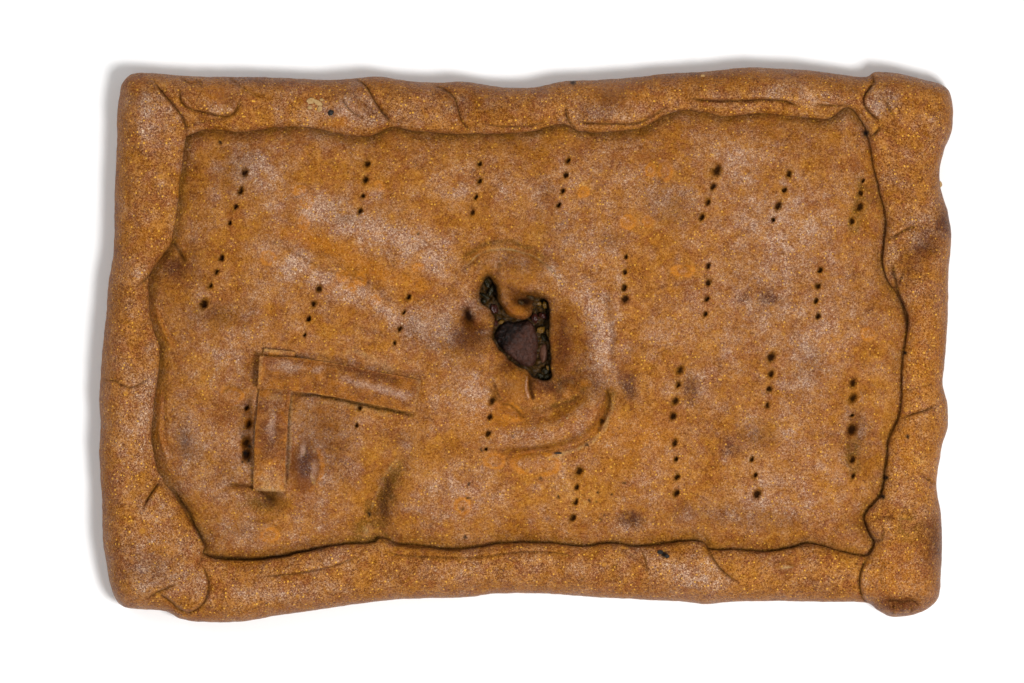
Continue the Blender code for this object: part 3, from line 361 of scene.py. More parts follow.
# Small lumps by piece: (u, v, three radii, turn, height of the middle above the ground)
BITS = {
    "greens": [
        (487, 283, 1.0, 2.2, 0.8, 25, 2.0), (491, 291, 0.8, 2.6, 0.8, -25, 2.0),
        (485, 296, 0.7, 2.0, 0.7, 60, 2.0), (484, 301, 1.2, 0.9, 0.8, 0, 1.8),
        (546, 371, 1.5, 1.3, 1.2, 10, 1.6), (541, 376, 1.6, 1.0, 1.0, -20, 1.6),
        (547, 377, 1.3, 1.0, 1.1, 30, 1.8), (549, 368, 0.8, 1.4, 1.0, 0, 1.8),
        (500, 352, 0.8, 1.8, 0.9, 40, 1.0), (544, 338, 1.0, 1.6, 0.9, 30, 0.8),
    ],
    "onion_bits": [
        (541, 330, 1.7, 1.3, 1.0, 25, 2.4), (548, 333, 0.6, 1.6, 0.8, 10, 2.2),
        (501, 322, 1.2, 0.8, 0.7, 20, 2.0), (538, 303, 1.6, 1.0, 0.9, -20, 2.6),
        (545, 305, 1.1, 1.5, 0.9, 20, 2.4), (548, 368, 0.6, 1.0, 0.6, 20, 2.6),
    ],
    "pepper_bits": [
        (494, 309, 1.6, 2.0, 1.0, 30, 1.8), (495, 323, 1.2, 1.3, 0.9, 0, 1.8),
        (543, 316, 1.8, 1.1, 0.9, -20, 1.6), (535, 318, 1.3, 2.0, 1.2, 10, 3.0),
    ],
    "shreds": [
        (521, 302.5, 1.2, 0.9, 0.8, -25, 0.9), (531, 297.5, 1.6, 0.9, 0.8, -20, 0.5),
        (537, 300, 1.4, 1.0, 1.0, 30, 0.1), (534.5, 304, 1.2, 0.8, 0.8, 10, -0.2),
    ],
    "flakes": [
        (311, 101, 1.6, 1.2, 0.35, 20, 0.3), (318, 103, 1.9, 1.0, 0.35, -30, 0.3),
        (320, 109, 1.3, 1.0, 0.3, 60, 0.3), (310, 108, 0.9, 0.7, 0.3, 0, 0.3),
        (322, 100, 0.8, 0.6, 0.3, 0, 0.3), (941, 184, 0.8, 1.3, 0.4, 0, 0.3),
        (567, 418, 0.45, 0.4, 0.3, 0, 0.2), (703, 76, 0.9, 0.6, 0.3, 0, 0.3),
    ],
    "charred_bits": [
        (331, 113, 1.3, 1.0, 0.7, 40, 0.3), (660, 552, 1.2, 0.9, 0.6, 0, 0.3),
        (667, 556, 0.9, 0.8, 0.5, 0, 0.3), (558, 453, 1.6, 0.4, 0.35, 0, 0.3),
    ],
}

# What is painted on the crust: colours, finishes and dark specks, with painted shade in creases, pricks,
# holes and valleys, and painted highlights and sheen
KINDS = (
    "toast_and_shade", "plum", "olive_and_shade", "red", "orange", "honey_and_highlight", "pale_and_highlight", "sheen", "broad_sheen", "gloss", "char_and_shade", "crease",
)

# Painted areas by kind: (u, v, two radii in units of the view, strength, turn)
PATCHES = {
    "honey_and_highlight": [
        (567, 391, 5, 7, 1.0), (242, 447, 3, 5, 0.9), (252, 436, 3, 5, 0.9), (248, 418, 5, 6, 0.7),
        (585, 383, 6, 4, 0.9, -10), (600, 434, 7, 4, 0.9, 30), (508, 411, 12, 5, 0.9, -35),
    ],
    # Toast: browner and paler areas, and painted shade in pits and hollows, such as the vent's pit and under
    # the short strip's end
    "toast_and_shade": [
        (536, 463, 14, 6, 0.35, -3), (560, 390, 10, 8, 0.35), (340, 385, 10, 6, 0.3),
        (720, 78, 110, 5, 0.3), (545, 387, 12, 6, 0.5), (526, 299, 13, 8, 1.1, -8), (468, 338, 16, 10, 0.4),
        (505, 366, 14, 7, 0.6, 30), (566, 384, 14, 10, 0.5), (385, 500, 12, 26, 0.5, 10),
        (613, 100, 18, 12, 0.5), (180, 262, 22, 24, 0.6), (945, 222, 10, 12, 0.9), (925, 250, 12, 10, 0.7),
        (930, 530, 14, 24, 0.35), (270, 501, 14, 8, 0.9, 10), (470, 335, 20, 22, 0.6),
        (425, 340, 20, 14, 0.3), (511, 386, 13, 12, 0.55), (610, 240, 16, 12, 0.4), (860, 440, 14, 30, 0.4),
        (240, 165, 22, 18, 0.3), (255, 372, 20, 10, 0.4), (935, 550, 12, 40, 0.35), (885, 100, 12, 16, 0.4),
        (318, 420, 30, 40, 0.5), (520, 262, 34, 12, 0.6), (512, 296, 16, 18, 0.55), (480, 330, 12, 9, 0.5),
        (600, 392, 14, 14, 0.6), (755, 435, 22, 14, 0.6), (690, 512, 24, 12, 0.5), (668, 205, 26, 22, 0.5),
        (215, 312, 26, 12, 0.5), (150, 565, 26, 20, 0.5), (908, 262, 14, 18, 0.6), (470, 110, 30, 14, 0.5),
        (205, 370, 18, 26, -0.5), (455, 214, 18, 14, -0.4), (622, 280, 10, 20, -0.5),
        (740, 152, 34, 14, -0.5), (885, 430, 14, 40, -0.5), (560, 490, 50, 24, -0.5),
        (700, 552, 40, 8, -0.5), (855, 568, 14, 12, -0.6), (468, 316, 7, 9, 0.9),
        (532, 298, 14, 6, 0.6, -10), (185, 442, 9, 15, 0.9), (230, 475, 18, 18, 0.4),
        (335, 455, 24, 34, 0.4), (412, 325, 10, 12, 0.4), (345, 220, 12, 7, 0.5), (545, 190, 12, 16, 0.4),
        (595, 112, 22, 12, 0.4), (925, 235, 15, 14, 0.5), (810, 360, 16, 26, 0.4), (855, 430, 10, 26, 0.3),
        (762, 300, 20, 16, 0.3), (402, 440, 22, 12, 0.4), (900, 603, 24, 8, 0.6), (145, 100, 18, 14, 0.35),
        (375, 112, 18, 10, 0.4), (235, 180, 30, 26, 0.25), (627, 386, 9, 18, 0.7), (691, 388, 10, 18, 0.5),
        (634, 520, 14, 10, 0.6), (578, 375, 26, 14, 0.4), (455, 345, 20, 26, 0.3), (306, 466, 10, 20, 0.4),
        (181, 200, 8, 44, -0.6), (250, 116, 18, 8, -0.4), (318, 270, 12, 9, -0.4), (350, 258, 14, 8, -0.4),
        (405, 546, 36, 5, -0.6), (680, 546, 30, 6, -0.5), (740, 570, 30, 10, -0.5),
        (915, 400, 24, 60, -0.4), (925, 480, 18, 34, -0.5), (712, 240, 12, 18, -0.4),
        (578, 180, 14, 14, -0.4), (452, 200, 14, 16, -0.3), (882, 225, 6, 30, -0.5),
        (780, 270, 80, 110, 0.1), (545, 232, 34, 26, 0.25), (220, 320, 40, 12, 0.3),
        (475, 300, 10, 14, 0.3), (588, 350, 12, 30, 0.3), (195, 455, 12, 16, 0.3), (238, 530, 24, 10, 0.3),
        (640, 350, 14, 12, 0.3), (853, 524, 14, 10, 0.4), (575, 452, 14, 8, -0.4), (680, 546, 26, 6, -0.4),
        (857, 562, 16, 12, -0.5), (320, 178, 26, 10, -0.3), (172, 240, 10, 16, -0.4),
        (820, 340, 14, 10, -0.3),
    ],
    "orange": [
        (613, 97, 22, 14, 0.9), (300, 488, 13, 6, 1.0), (225, 410, 14, 18, 0.4),
        (516, 313, 14, 5, 0.9, -20), (515, 385, 14, 14, 0.5), (897, 570, 26, 26, 0.9),
        (155, 535, 30, 26, 0.6), (490, 420, 26, 18, 0.6), (600, 415, 16, 20, 0.6), (650, 430, 26, 20, 0.4),
        (610, 365, 10, 20, 0.4), (330, 222, 18, 10, 0.4), (180, 250, 20, 16, 0.4), (870, 165, 12, 30, 0.5),
        (330, 400, 30, 14, 0.5), (640, 92, 50, 10, 0.4), (342, 123, 18, 5, 1.0), (215, 92, 18, 12, 0.6),
        (460, 118, 40, 8, 0.7), (150, 235, 20, 40, 0.5), (905, 585, 26, 20, 0.7), (770, 118, 60, 8, 0.4),
        (480, 330, 14, 10, 0.8), (522, 300, 18, 10, 0.7), (628, 222, 6, 6, 0.9), (648, 224, 5, 5, 0.9),
        (650, 241, 7, 5, 0.8), (583, 192, 5, 5, 0.9), (671, 290, 9, 5, 0.7), (758, 179, 9, 7, 0.5),
        (640, 460, 60, 44, 0.4), (345, 282, 26, 10, 0.6, 20), (325, 425, 20, 20, 0.5),
        (900, 232, 14, 14, 0.5), (880, 155, 14, 26, 0.5), (760, 78, 90, 8, 0.6), (900, 560, 30, 30, 0.4),
        (520, 425, 90, 26, 0.4), (769, 212, 6, 9, 0.5),
    ],
    "red": [
        (300, 83, 60, 5, 0.6), (460, 92, 70, 5, 0.5), (545, 387, 13, 8, 1.0), (750, 288, 26, 18, 0.5),
        (690, 405, 18, 24, 0.4), (225, 410, 22, 26, 0.7), (470, 338, 22, 16, 0.8),
        (507, 366, 10, 7, 0.8, 30), (565, 345, 10, 34, 0.7), (932, 235, 16, 16, 0.8),
        (928, 545, 16, 34, 0.8), (893, 600, 26, 12, 0.5), (545, 400, 14, 9, 0.4), (385, 515, 16, 16, 0.5),
        (304, 465, 15, 27, 1.7), (613, 100, 20, 15, 0.7), (232, 100, 16, 12, 0.7), (250, 80, 40, 6, 0.6),
        (420, 100, 34, 12, 0.5), (700, 92, 40, 8, 0.4), (135, 230, 14, 40, 0.4), (118, 330, 8, 60, 0.4),
        (400, 572, 26, 10, 0.6), (786, 571, 18, 5, 0.9, 10), (899, 608, 20, 8, 1.0),
        (570, 150, 18, 14, 0.5), (250, 307, 12, 9, 0.5), (180, 307, 12, 9, 0.5), (643, 290, 14, 9, 0.6),
        (690, 214, 24, 18, 0.4),
    ],
    "gloss": [
        (510, 288, 26, 26, 0.9), (520, 386, 16, 14, 0.9), (306, 466, 17, 30, 1.0), (613, 100, 20, 15, 0.9),
        (342, 112, 24, 14, 1.0), (225, 98, 20, 12, 0.9), (786, 569, 16, 8, 1.0),
    ],
    "sheen": [
        (521.5, 303, 2.4, 2.0, 1.6), (303, 449, 3.5, 7, 1.2, -10), (314, 470, 3.5, 10, 0.75, -5),
        (317, 446, 2, 3, 0.9),
    ],
    # Painted shade in the pits and dents in and beside the vent
    "crease": [
        (469.5, 316, 4.0, 6.4, 0.9), (498, 266, 2, 4, 0.5), (526, 301, 10, 5, 1.2, -10),
        (468, 316, 4, 7, 0.7),
    ],
    "plum": [
        (728, 450, 12, 12, 1.0), (630, 520, 14, 10, 1.0), (630, 384, 9, 14, 0.8), (691, 390, 10, 16, 0.8),
        (306, 462, 7, 17, 1.3), (175, 268, 12, 12, 0.8), (506, 305, 2.4, 2.4, 0.8), (744, 297, 8, 7, 0.7),
        (769, 298, 10, 9, 0.9), (855, 275, 12, 9, 0.5), (872, 310, 12, 10, 0.5), (640, 261, 6, 5, 0.5),
        (625, 301, 6, 6, 0.6), (733, 185, 9, 7, 0.4),
    ],
    # Olive: olive-brown areas, and painted shade in hollows and pockets
    "olive_and_shade": [
        (912, 530, 14, 18, 0.6), (365, 532, 12, 14, 0.9), (262, 500, 28, 14, 0.8), (905, 532, 12, 18, 0.6),
        (561, 386, 12, 12, 0.9), (478, 331, 12, 7, 0.7), (530, 298, 14, 7, 0.9, -10),
    ],
    # Pale: paler dough, and painted highlights on the blisters
    "pale_and_highlight": [
        (368, 532, 7, 8, 0.5), (305, 452, 2.5, 3.5, 0.8), (315, 450, 1.5, 4, 0.8),
        (313, 479, 2, 8, 0.7, 20), (786, 567, 6, 2, 0.9, 10),
    ],
    # Broad sheen: painted pale sheen, which also raises the shine
    "broad_sheen": [
        (250, 165, 20, 16, 0.8), (316, 208, 14, 16, 1.0), (296, 258, 18, 14, 1.0, 30),
        (440, 330, 22, 20, 0.5), (472, 400, 14, 26, 0.7), (536, 463, 18, 6, 0.3, -4),
        (475, 308, 14, 10, 0.7), (275, 285, 20, 12, 0.5), (150, 125, 14, 26, 0.5), (330, 112, 20, 10, 0.6),
        (540, 190, 40, 20, 0.3), (755, 300, 22, 18, 0.4), (815, 350, 26, 22, 0.5), (695, 385, 14, 20, 0.4),
        (190, 430, 18, 26, 0.6), (150, 400, 8, 50, 0.4), (240, 535, 24, 14, 0.4), (630, 525, 16, 12, 0.5),
        (790, 500, 40, 22, 0.4), (280, 592, 50, 10, 0.4), (925, 235, 14, 16, 0.5), (735, 160, 26, 20, 0.4),
        (780, 240, 34, 28, 0.4), (265, 185, 22, 20, 0.4), (885, 100, 14, 12, 0.5), (763, 297, 3, 5, 0.9),
        (780, 270, 80, 110, 0.25), (455, 192, 24, 16, 0.4), (322, 142, 24, 14, 0.35),
        (595, 255, 24, 22, 0.3), (665, 333, 18, 18, 0.35), (720, 145, 24, 12, 0.3),
        (742, 192, 18, 16, 0.35), (578, 160, 18, 22, 0.35), (225, 350, 26, 12, 0.35),
        (130, 430, 14, 40, 0.35),
    ],
}

# Painted strokes by kind: (line, half width in units of the view, strength)
STROKES = {
    "orange": [
        ([(493, 430), (535, 433), (575, 421), (598, 398)], 9, 0.6),
        ([(276, 232), (317, 242), (350, 256), (386, 277), (436, 289)], 10, 0.9),
        ([(558, 306), (565, 340), (562, 372)], 14, 0.6),
        ([(905, 290), (916, 350), (905, 420), (900, 480)], 20, 0.6),
        ([(528, 374), (527, 388), (531, 400)], 3, 1.2), ([(857, 385), (857, 405)], 4, 0.6),
        ([(153, 304), (160, 324), (170, 344)], 4, 1.0),
        ([(158, 384), (158, 412), (159, 436), (167, 456)], 4, 1.0),
    ],
    # Painted sheen along ridges and rolls
    "broad_sheen": [
        ([(318, 203), (345, 222), (385, 234), (430, 250), (450, 272)], 14, 0.7),
        ([(278, 250), (312, 270), (345, 290), (385, 310), (440, 332)], 11, 0.5),
        ([(594, 285), (602, 330), (600, 375)], 11, 0.6), ([(548, 264), (562, 280)], 6, 0.6),
        ([(476, 332), (492, 332)], 1.6, 0.9), ([(492, 432), (530, 434), (562, 425), (590, 404)], 5, 0.3),
    ],
    # Browner lines, and painted shade in grooves, beside the collar's rolls, on the vent's right wall and in
    # the valley below the strips
    "toast_and_shade": [
        ([(530, 380), (560, 385), (580, 375)], 10, 0.5), ([(392, 474), (386, 494), (382, 516)], 8, 1.0),
        ([(369, 502), (369, 518)], 3, 0.6), ([(558, 306), (564, 340), (561, 372)], 11, 0.9),
        ([(484, 268), (505, 258), (530, 264), (548, 280)], 8, 0.3),
        ([(462, 262), (482, 246), (504, 242), (530, 248), (552, 262)], 4, 0.5),
        ([(498, 410), (524, 415), (552, 410), (578, 397), (590, 380)], 4, 0.6),
        ([(498, 451), (549, 446), (590, 428), (604, 400)], 2.6, 0.6),
        ([(607, 292), (613, 335), (612, 380)], 4, 0.45), ([(462, 272), (470, 262), (484, 268)], 4, 0.5),
        ([(690, 512), (740, 515), (800, 524)], 12, 0.4), ([(530, 375), (530.5, 386), (534, 398)], 1.8, 1.2),
        ([(533, 380), (534, 391)], 3.0, 1.0), ([(247, 400), (248, 428), (247, 462)], 7, 0.9),
        ([(889, 95), (896, 108), (906, 118)], 2.0, 0.5), ([(290, 354), (330, 359), (426, 378)], 3, 0.6),
    ],
    "pale_and_highlight": [
        ([(466, 266), (480, 254), (500, 249), (522, 252), (541, 261), (562, 283)], 1.2, 0.75),
        ([(545, 458), (580, 448), (600, 434), (610, 415), (613, 392)], 3.2, 0.55),
        ([(402, 452), (386, 474), (377, 492), (371, 512)], 1.8, 0.5), ([(556, 384), (568, 394)], 2, 0.4),
        ([(292, 388), (291, 430), (289, 478)], 2.0, 0.5), ([(345, 346), (372, 360), (400, 372)], 6, 0.5),
        ([(300, 402), (350, 405), (400, 418)], 5, 0.35),
    ],
    # Olive tone, and painted shade in grooves and valleys
    "olive_and_shade": [
        ([(600, 436), (608, 410), (613, 388)], 6, 0.8),
        ([(402, 458), (390, 482), (382, 508), (378, 534)], 10, 0.9), ([(369, 500), (369, 520)], 5, 0.9),
        ([(462, 262), (482, 246), (504, 242), (530, 248), (552, 262)], 3.5, 0.6),
        ([(468, 326), (478, 334), (491, 336)], 5, 0.8),
        ([(500, 405), (540, 408), (572, 400), (588, 384)], 4, 0.8),
        ([(852, 438), (852, 460), (853, 478)], 7, 0.9), ([(864, 178), (860, 200), (851, 236)], 7, 0.8),
        ([(300, 394), (345, 400), (412, 415)], 4, 0.8),
    ],
    "red": [
        ([(500, 436), (535, 438), (575, 427), (597, 402)], 7, 0.5),
        ([(889, 95), (896, 108), (906, 118)], 2.5, 0.8), ([(345, 90), (362, 104), (380, 120)], 3, 0.8),
        ([(172, 82), (195, 104), (208, 124)], 3, 0.6), ([(695, 104), (740, 99), (800, 106)], 3, 0.6),
    ],
    "sheen": [([(527, 376), (526, 388), (529, 399)], 1.4, 0.7)],
    # Painted shade in cracks and holes, along the seam, under the rim's overhang and along the strips' edges
    "crease": [
        ([(493, 383), (497, 392), (502, 400)], 1.2, 0.6), ([(246, 438), (248, 460)], 3.2, 0.6),
        ([(256, 389), (251, 400), (251, 490)], 1.6, 0.4),
        ([(290.5, 394), (289, 430), (287.5, 482)], 1.3, 0.7),
        ([(292, 394), (320, 396), (345, 401), (380, 408), (414, 416)], 1.8, 0.9),
        ([(258, 493), (285, 493)], 2.0, 0.5), ([(173, 490), (190, 515), (206, 550)], 1.8, 0.9),
        ([(892, 266), (897, 288), (904, 308), (908, 330)], 2.4, 0.9),
        ([(205, 556), (262, 559), (300, 552), (330, 546)], 2.0, 0.9),
        ([(381, 540), (398, 545), (430, 548), (460, 550)], 1.6, 0.7),
        ([(585, 545), (613, 543), (640, 547), (700, 542)], 1.5, 0.5),
        ([(735, 550), (765, 552), (800, 546), (830, 548)], 1.5, 0.5),
        ([(864, 520), (869, 533), (876, 543)], 1.5, 0.8), ([(880, 498), (886, 478), (888, 440)], 1.5, 0.5),
    ],
    # A painted highlight along the plum blister's lit right edge
    "honey_and_highlight": [([(319, 446), (323, 462), (321, 480)], 1.8, 1.2)],
}

# Painted areas and strokes of the two strips, with painted highlights and a painted shade band along the long
# strip's upper edge
STRIP_PATCHES = {
    "sheen": [(289, 367, 16, 5, 1.0, -4), (319, 370, 5, 4, 0.8), (272, 424, 4, 15, 0.9)],
    "red": [(416, 393, 5, 12, 0.8), (271, 430, 11, 26, 1.0)],
    "pale_and_highlight": [(279, 351, 17, 4, 0.25, -5), (275, 397, 12, 6, 0.45), (270, 479, 14, 15, 0.5)],
    "honey_and_highlight": [(279, 351, 17, 4, 0.6, -5), (270, 476, 14, 18, 0.5)],
    "broad_sheen": [(275, 399, 13, 8, 0.6), (270, 479, 14, 15, 0.6)],
    "plum": [(271, 437, 6, 14, 0.8)],
    "gloss": [(270, 479, 14, 15, -0.8)],
    "toast_and_shade": [(270, 479, 14, 15, -0.6)],
}
STRIP_STROKES = {
    "sheen": [([(342, 378), (352, 381), (375, 387), (400, 394), (412, 397)], 4.5, 0.75)],
    # Red and toast: painted shade along the long strip's upper edge, which slopes away
    "red": [
        ([(331, 364), (350, 368), (370, 374), (394, 380)], 4.5, 0.8),
        ([(263, 360), (280, 361), (300, 362)], 3, 0.9),
    ],
    "toast_and_shade": [([(331, 364), (350, 368), (370, 374), (394, 380)], 4, 0.35)],
}

# Dark specks, of char and of painted shade in small holes and hollows: (u, v, radius in units of the view)
SPECKS = [
    (243, 437, 1.6), (250, 446, 2.2), (245, 453, 2.4), (249, 461, 2.0), (243, 462, 1.4), (587, 444, 1.4),
    (220, 142, 2.2), (370, 514, 2.2), (463, 509, 1.6), (469, 484, 1.4), (468, 498, 1.4), (465, 537, 1.8),
    (558, 497, 1.6), (598, 492, 1.6), (596, 502, 1.5), (589, 500, 1.4), (601, 519, 1.8), (605, 515, 1.5),
    (540, 478, 1.8), (664, 554, 4.0), (513, 436, 1.5), (497, 300, 1.4), (481, 450, 1.2), (495, 464, 0.9),
    (624, 483, 1.3), (612, 494, 1.0), (907, 436, 2.2), (886, 478, 2.4), (883, 497, 2.6), (905, 353, 1.4),
    (418, 234, 1.6), (866, 133, 3.4), (573, 82, 3.0),
]

# Crust: tone of the dough, how grainy it is and how strongly speckled
CRUST_LOOKS = {
    "crust_rim": (0.53, 0.44, 1.45),
    "crust_lid": (0.59, 0.36, 1.0),
    "dough_strip": (0.52, 0.34, 1.2),
}
CRUST_TONES = [
    (0.0, (0.050, 0.014, 0.003)),
    (0.25, (0.135, 0.036, 0.004)),
    (0.5, (0.265, 0.080, 0.007)),
    (0.75, (0.420, 0.155, 0.016)),
    (1.0, (0.620, 0.320, 0.080)),
]

# Moist or dry food: dark and light tone, size of the patches, roughness, relief and shine
WET_LOOKS = {
    "filling": ((0.004, 0.002, 0.001), (0.130, 0.060, 0.010), 1.3, 0.34, 0.45, 0.15),
    "meat": ((0.006, 0.003, 0.002), (0.082, 0.029, 0.017), 1.5, 0.38, 0.60, 0.20),
    "meat_pale": ((0.080, 0.030, 0.016), (0.190, 0.080, 0.044), 1.4, 0.35, 0.25, 0.2),
    "greens": ((0.004, 0.003, 0.001), (0.050, 0.036, 0.008), 0.8, 0.30, 0.35, 0.25),
    "onion": ((0.090, 0.040, 0.004), (0.260, 0.130, 0.014), 1.0, 0.28, 0.25, 0.3),
    "pepper": ((0.022, 0.006, 0.004), (0.090, 0.018, 0.010), 1.2, 0.25, 0.25, 0.3),
    "flakes": ((0.330, 0.180, 0.055), (0.620, 0.420, 0.200), 1.2, 0.55, 0.25, 0.2),
    "charred": ((0.006, 0.005, 0.004), (0.030, 0.022, 0.018), 0.8, 0.45, 0.35, 0.3),
}


def plan(view_points):
    """View points to x and y in millimetres."""
    return (np.asarray(view_points, float) - VIEW_CENTRE) * (SCALE, -SCALE)


def spline(points, closed, pieces=8):
    """Points along a smooth curve through the given ones."""
    if closed:
        padded = np.vstack([points[-1], points, points[:2]])
    else:
        padded = np.vstack([2 * points[0] - points[1], points, 2 * points[-1] - points[-2]])
    t = (np.arange(pieces) / pieces)[:, None]
    before, start, end, after = (padded[k : len(padded) - 3 + k, None] for k in range(4))
    curve = 0.5 * (
        2 * start
        + (end - before) * t
        + (2 * before - 5 * start + 4 * end - after) * t**2
        + (3 * start - before - 3 * end + after) * t**3
    )
    curve = curve.reshape(-1, 2)
    return curve if closed else np.vstack([curve, points[-1]])


def evenly(curve, count):
    """The given number of points, equally far apart along an open curve."""
    steps = np.linalg.norm(np.diff(curve, axis=0), axis=1)
    travelled = np.concatenate([[0.0], np.cumsum(steps)])
    wanted = np.linspace(0.0, travelled[-1], count)
    return np.stack([np.interp(wanted, travelled, curve[:, k]) for k in (0, 1)], 1)


def smooth_loop(view_points, count):
    """A closed smooth curve, counter-clockwise from above, as equally spaced points."""
    curve = spline(plan(view_points)[::-1], True)
    return evenly(np.vstack([curve, curve[0]]), count + 1)[:-1]


def smooth_line(view_points, step):
    """An open smooth curve as points about one step apart."""
    curve = spline(plan(view_points), False)
    length = np.linalg.norm(np.diff(curve, axis=0), axis=1).sum()
    return evenly(curve, max(2, round(length / step) + 1))


def leftward(line):
    """Unit vectors to the left of an open line, at each of its points."""
    tangent = np.gradient(line, axis=0)
    return np.stack([-tangent[:, 1], tangent[:, 0]], 1) / np.linalg.norm(tangent, axis=1)[:, None]


def normals(loop, calm):
    """Unit normals that point out of a closed loop, averaged over a few points on either side."""
    tangent = np.roll(loop, -1, 0) - np.roll(loop, 1, 0)
    normal = np.stack([tangent[:, 1], -tangent[:, 0]], 1)
    normal = sum(np.roll(normal, k, 0) for k in range(-calm, calm + 1))
    return normal / np.linalg.norm(normal, axis=1)[:, None]


def shifted(loop, outward, calm=5):
    """The loop moved outward."""
    return loop + np.broadcast_to(outward, len(loop))[:, None] * normals(loop, calm)


def nearest(points, line):
    """Distance of each point to a line, how far along it that is (0 to 1), and +1 on its left or -1."""
    start, run = line[:-1], np.diff(line, axis=0)
    to_start = points[:, None, :] - start
    part = np.clip((to_start * run).sum(-1) / (run * run).sum(-1), 0.0, 1.0)
    gap = to_start - part[..., None] * run
    distance = np.sqrt((gap * gap).sum(-1))
    best = distance.argmin(1)
    rows = np.arange(len(points))
    cross = run[best, 0] * to_start[rows, best, 1] - run[best, 1] * to_start[rows, best, 0]
    return distance[rows, best], (best + part[rows, best]) / len(run), np.where(cross > 0, 1.0, -1.0)


def inside(points, loop):
    """Which points lie inside a closed loop."""
    ax, ay = loop[:, 0], loop[:, 1]
    bx, by = np.roll(ax, -1), np.roll(ay, -1)
    rise = np.where(by == ay, 1.0, by - ay)
    found = []
    for first in range(0, len(points), CHUNK):
        x, y = points[first : first + CHUNK, 0, None], points[first : first + CHUNK, 1, None]
        spans = (ay > y) != (by > y)
        found.append((spans & (x < (bx - ax) * (y - ay) / rise + ax)).sum(1) % 2 == 1)
    return np.concatenate(found)


def tree_of(points):
    """A search tree of plan places."""
    tree = KDTree(len(points))
    for index, (x, y) in enumerate(points.tolist()):
        tree.insert((x, y, 0.0), index)
    tree.balance()
    return tree


class Loop:
    """A closed curve, counter-clockwise, that places can be measured from."""

    def __init__(self, points):
        self.points = points
        self.normals = normals(points, 1)
        self.tree = tree_of(points)

    def depth(self, places):
        """Distance of each place to the curve, positive inside it."""
        found = np.array([self.tree.find((x, y, 0.0))[1] for x, y in places.tolist()], int)
        best = np.full(len(places), np.inf)
        for step in (-1, 0):
            start = self.points[(found + step) % len(self.points)]
            run = self.points[(found + step + 1) % len(self.points)] - start
            offset = places - start
            part = np.clip((offset * run).sum(1) / (run * run).sum(1), 0.0, 1.0)
            best = np.minimum(best, np.linalg.norm(offset - part[:, None] * run, axis=1))
        outside = ((places - self.points[found]) * self.normals[found]).sum(1) > 0
        return np.where(outside, -best, best)


def noise(points, size, seed):
    """Smooth noise between about -1 and 1, with lumps about one size across."""
    turns = np.random.default_rng(seed).uniform(0.0, 2.0 * np.pi, (64, 64))
    place = points / size + 31.7
    cell = np.floor(place).astype(int)
    part = place - cell
    fade = part**3 * (part * (part * 6.0 - 15.0) + 10.0)

    def corner(i, j):
        turn = turns[(cell[:, 0] + i) % 64, (cell[:, 1] + j) % 64]
        return np.cos(turn) * (part[:, 0] - i) + np.sin(turn) * (part[:, 1] - j)

    low = corner(0, 0) * (1 - fade[:, 0]) + corner(1, 0) * fade[:, 0]
    high = corner(0, 1) * (1 - fade[:, 0]) + corner(1, 1) * fade[:, 0]
    return 1.5 * (low * (1 - fade[:, 1]) + high * fade[:, 1])


def uneven(points, layers):
    """Noise added up from layers of (strength, size, seed)."""
    return sum(strength * noise(points, size, seed) for strength, size, seed in layers)


def warped(points, reach, size, seed):
    """The points pushed about by noise, so that what is drawn at them has ragged edges."""
    return points + reach * np.stack([noise(points, size, seed), noise(points, size, seed + 1)], 1)


def quarter(share):
    """A quarter circle that rises from 0 to 1 and then stays there."""
    return np.sqrt(1.0 - (1.0 - np.clip(share, 0.0, 1.0)) ** 2)


def eased(share):
    """A smooth step from 0 to 1."""
    share = np.clip(share, 0.0, 1.0)
    return share * share * (3.0 - 2.0 * share)


def bell(share, power=2):
    """1 at a share of 0, falling off to both sides, the more sharply the higher the power."""
    return np.exp(-(share**power))


def tapered(along, least=0.0):
    """1 along a line, rounded off towards both of its ends down to about the least value."""
    return quarter(4.0 * np.minimum(along, 1.0 - along) + least)


def around(points, centres, reach):
    """The numbers of the points within a reach of the box round one or more centres."""
    low, high = (edge(np.atleast_2d(centres), 0) for edge in (np.min, np.max))
    return np.flatnonzero(np.all((points > low - reach) & (points < high + reach), axis=1))


def close_to(points, line, reach):
    """The numbers of the points near a line, and for each what nearest() says."""
    near = around(points, line, reach)
    return near, *nearest(points[near], line)


def stretched(line, reach):
    """A line made longer at both of its ends."""
    first, last = line[0] - line[1], line[-1] - line[-2]
    first, last = (reach * end / np.linalg.norm(end) for end in (first, last))
    return np.vstack([line[0] + first, line, line[-1] + last])


def turned(offset, degrees):
    """Offsets measured along and across a direction that is turned by some degrees."""
    turn = np.radians(degrees)
    along = offset[:, 0] * np.cos(turn) + offset[:, 1] * np.sin(turn)
    return along, offset[:, 1] * np.cos(turn) - offset[:, 0] * np.sin(turn)


def rounds(forms):
    """Centre, radii, amount and turn of each round form of a list."""
    for u, v, wide, high, amount, *degrees in forms:
        yield plan((u, v)), np.array([wide, high], float), amount, sum(degrees)


def swelling(points, centre, radii, degrees=0):
    """A round mound: 1 at its centre, fading over its radii."""
    along, across = turned(points - centre, degrees)
    return np.exp(-((along / radii[0]) ** 2) - (across / radii[1]) ** 2)


def swellings(points, forms):
    """The sum of all mounds of a list."""
    height = np.zeros(len(points))
    for centre, radii, rise, degrees in rounds(forms):
        near = around(points, centre, 2.6 * max(radii))
        height[near] += rise * swelling(points[near], centre, radii, degrees)
    return height


def ridges(points, forms):
    """The sum of all rounded ridges and grooves of a list."""
    height = np.zeros(len(points))
    for view_line, half_width, rise in forms:
        near, distance, along, _ = close_to(points, smooth_line(view_line, 2.0), 2.6 * half_width)
        height[near] += rise * tapered(along, 0.15) * bell(distance / half_width)
    return height


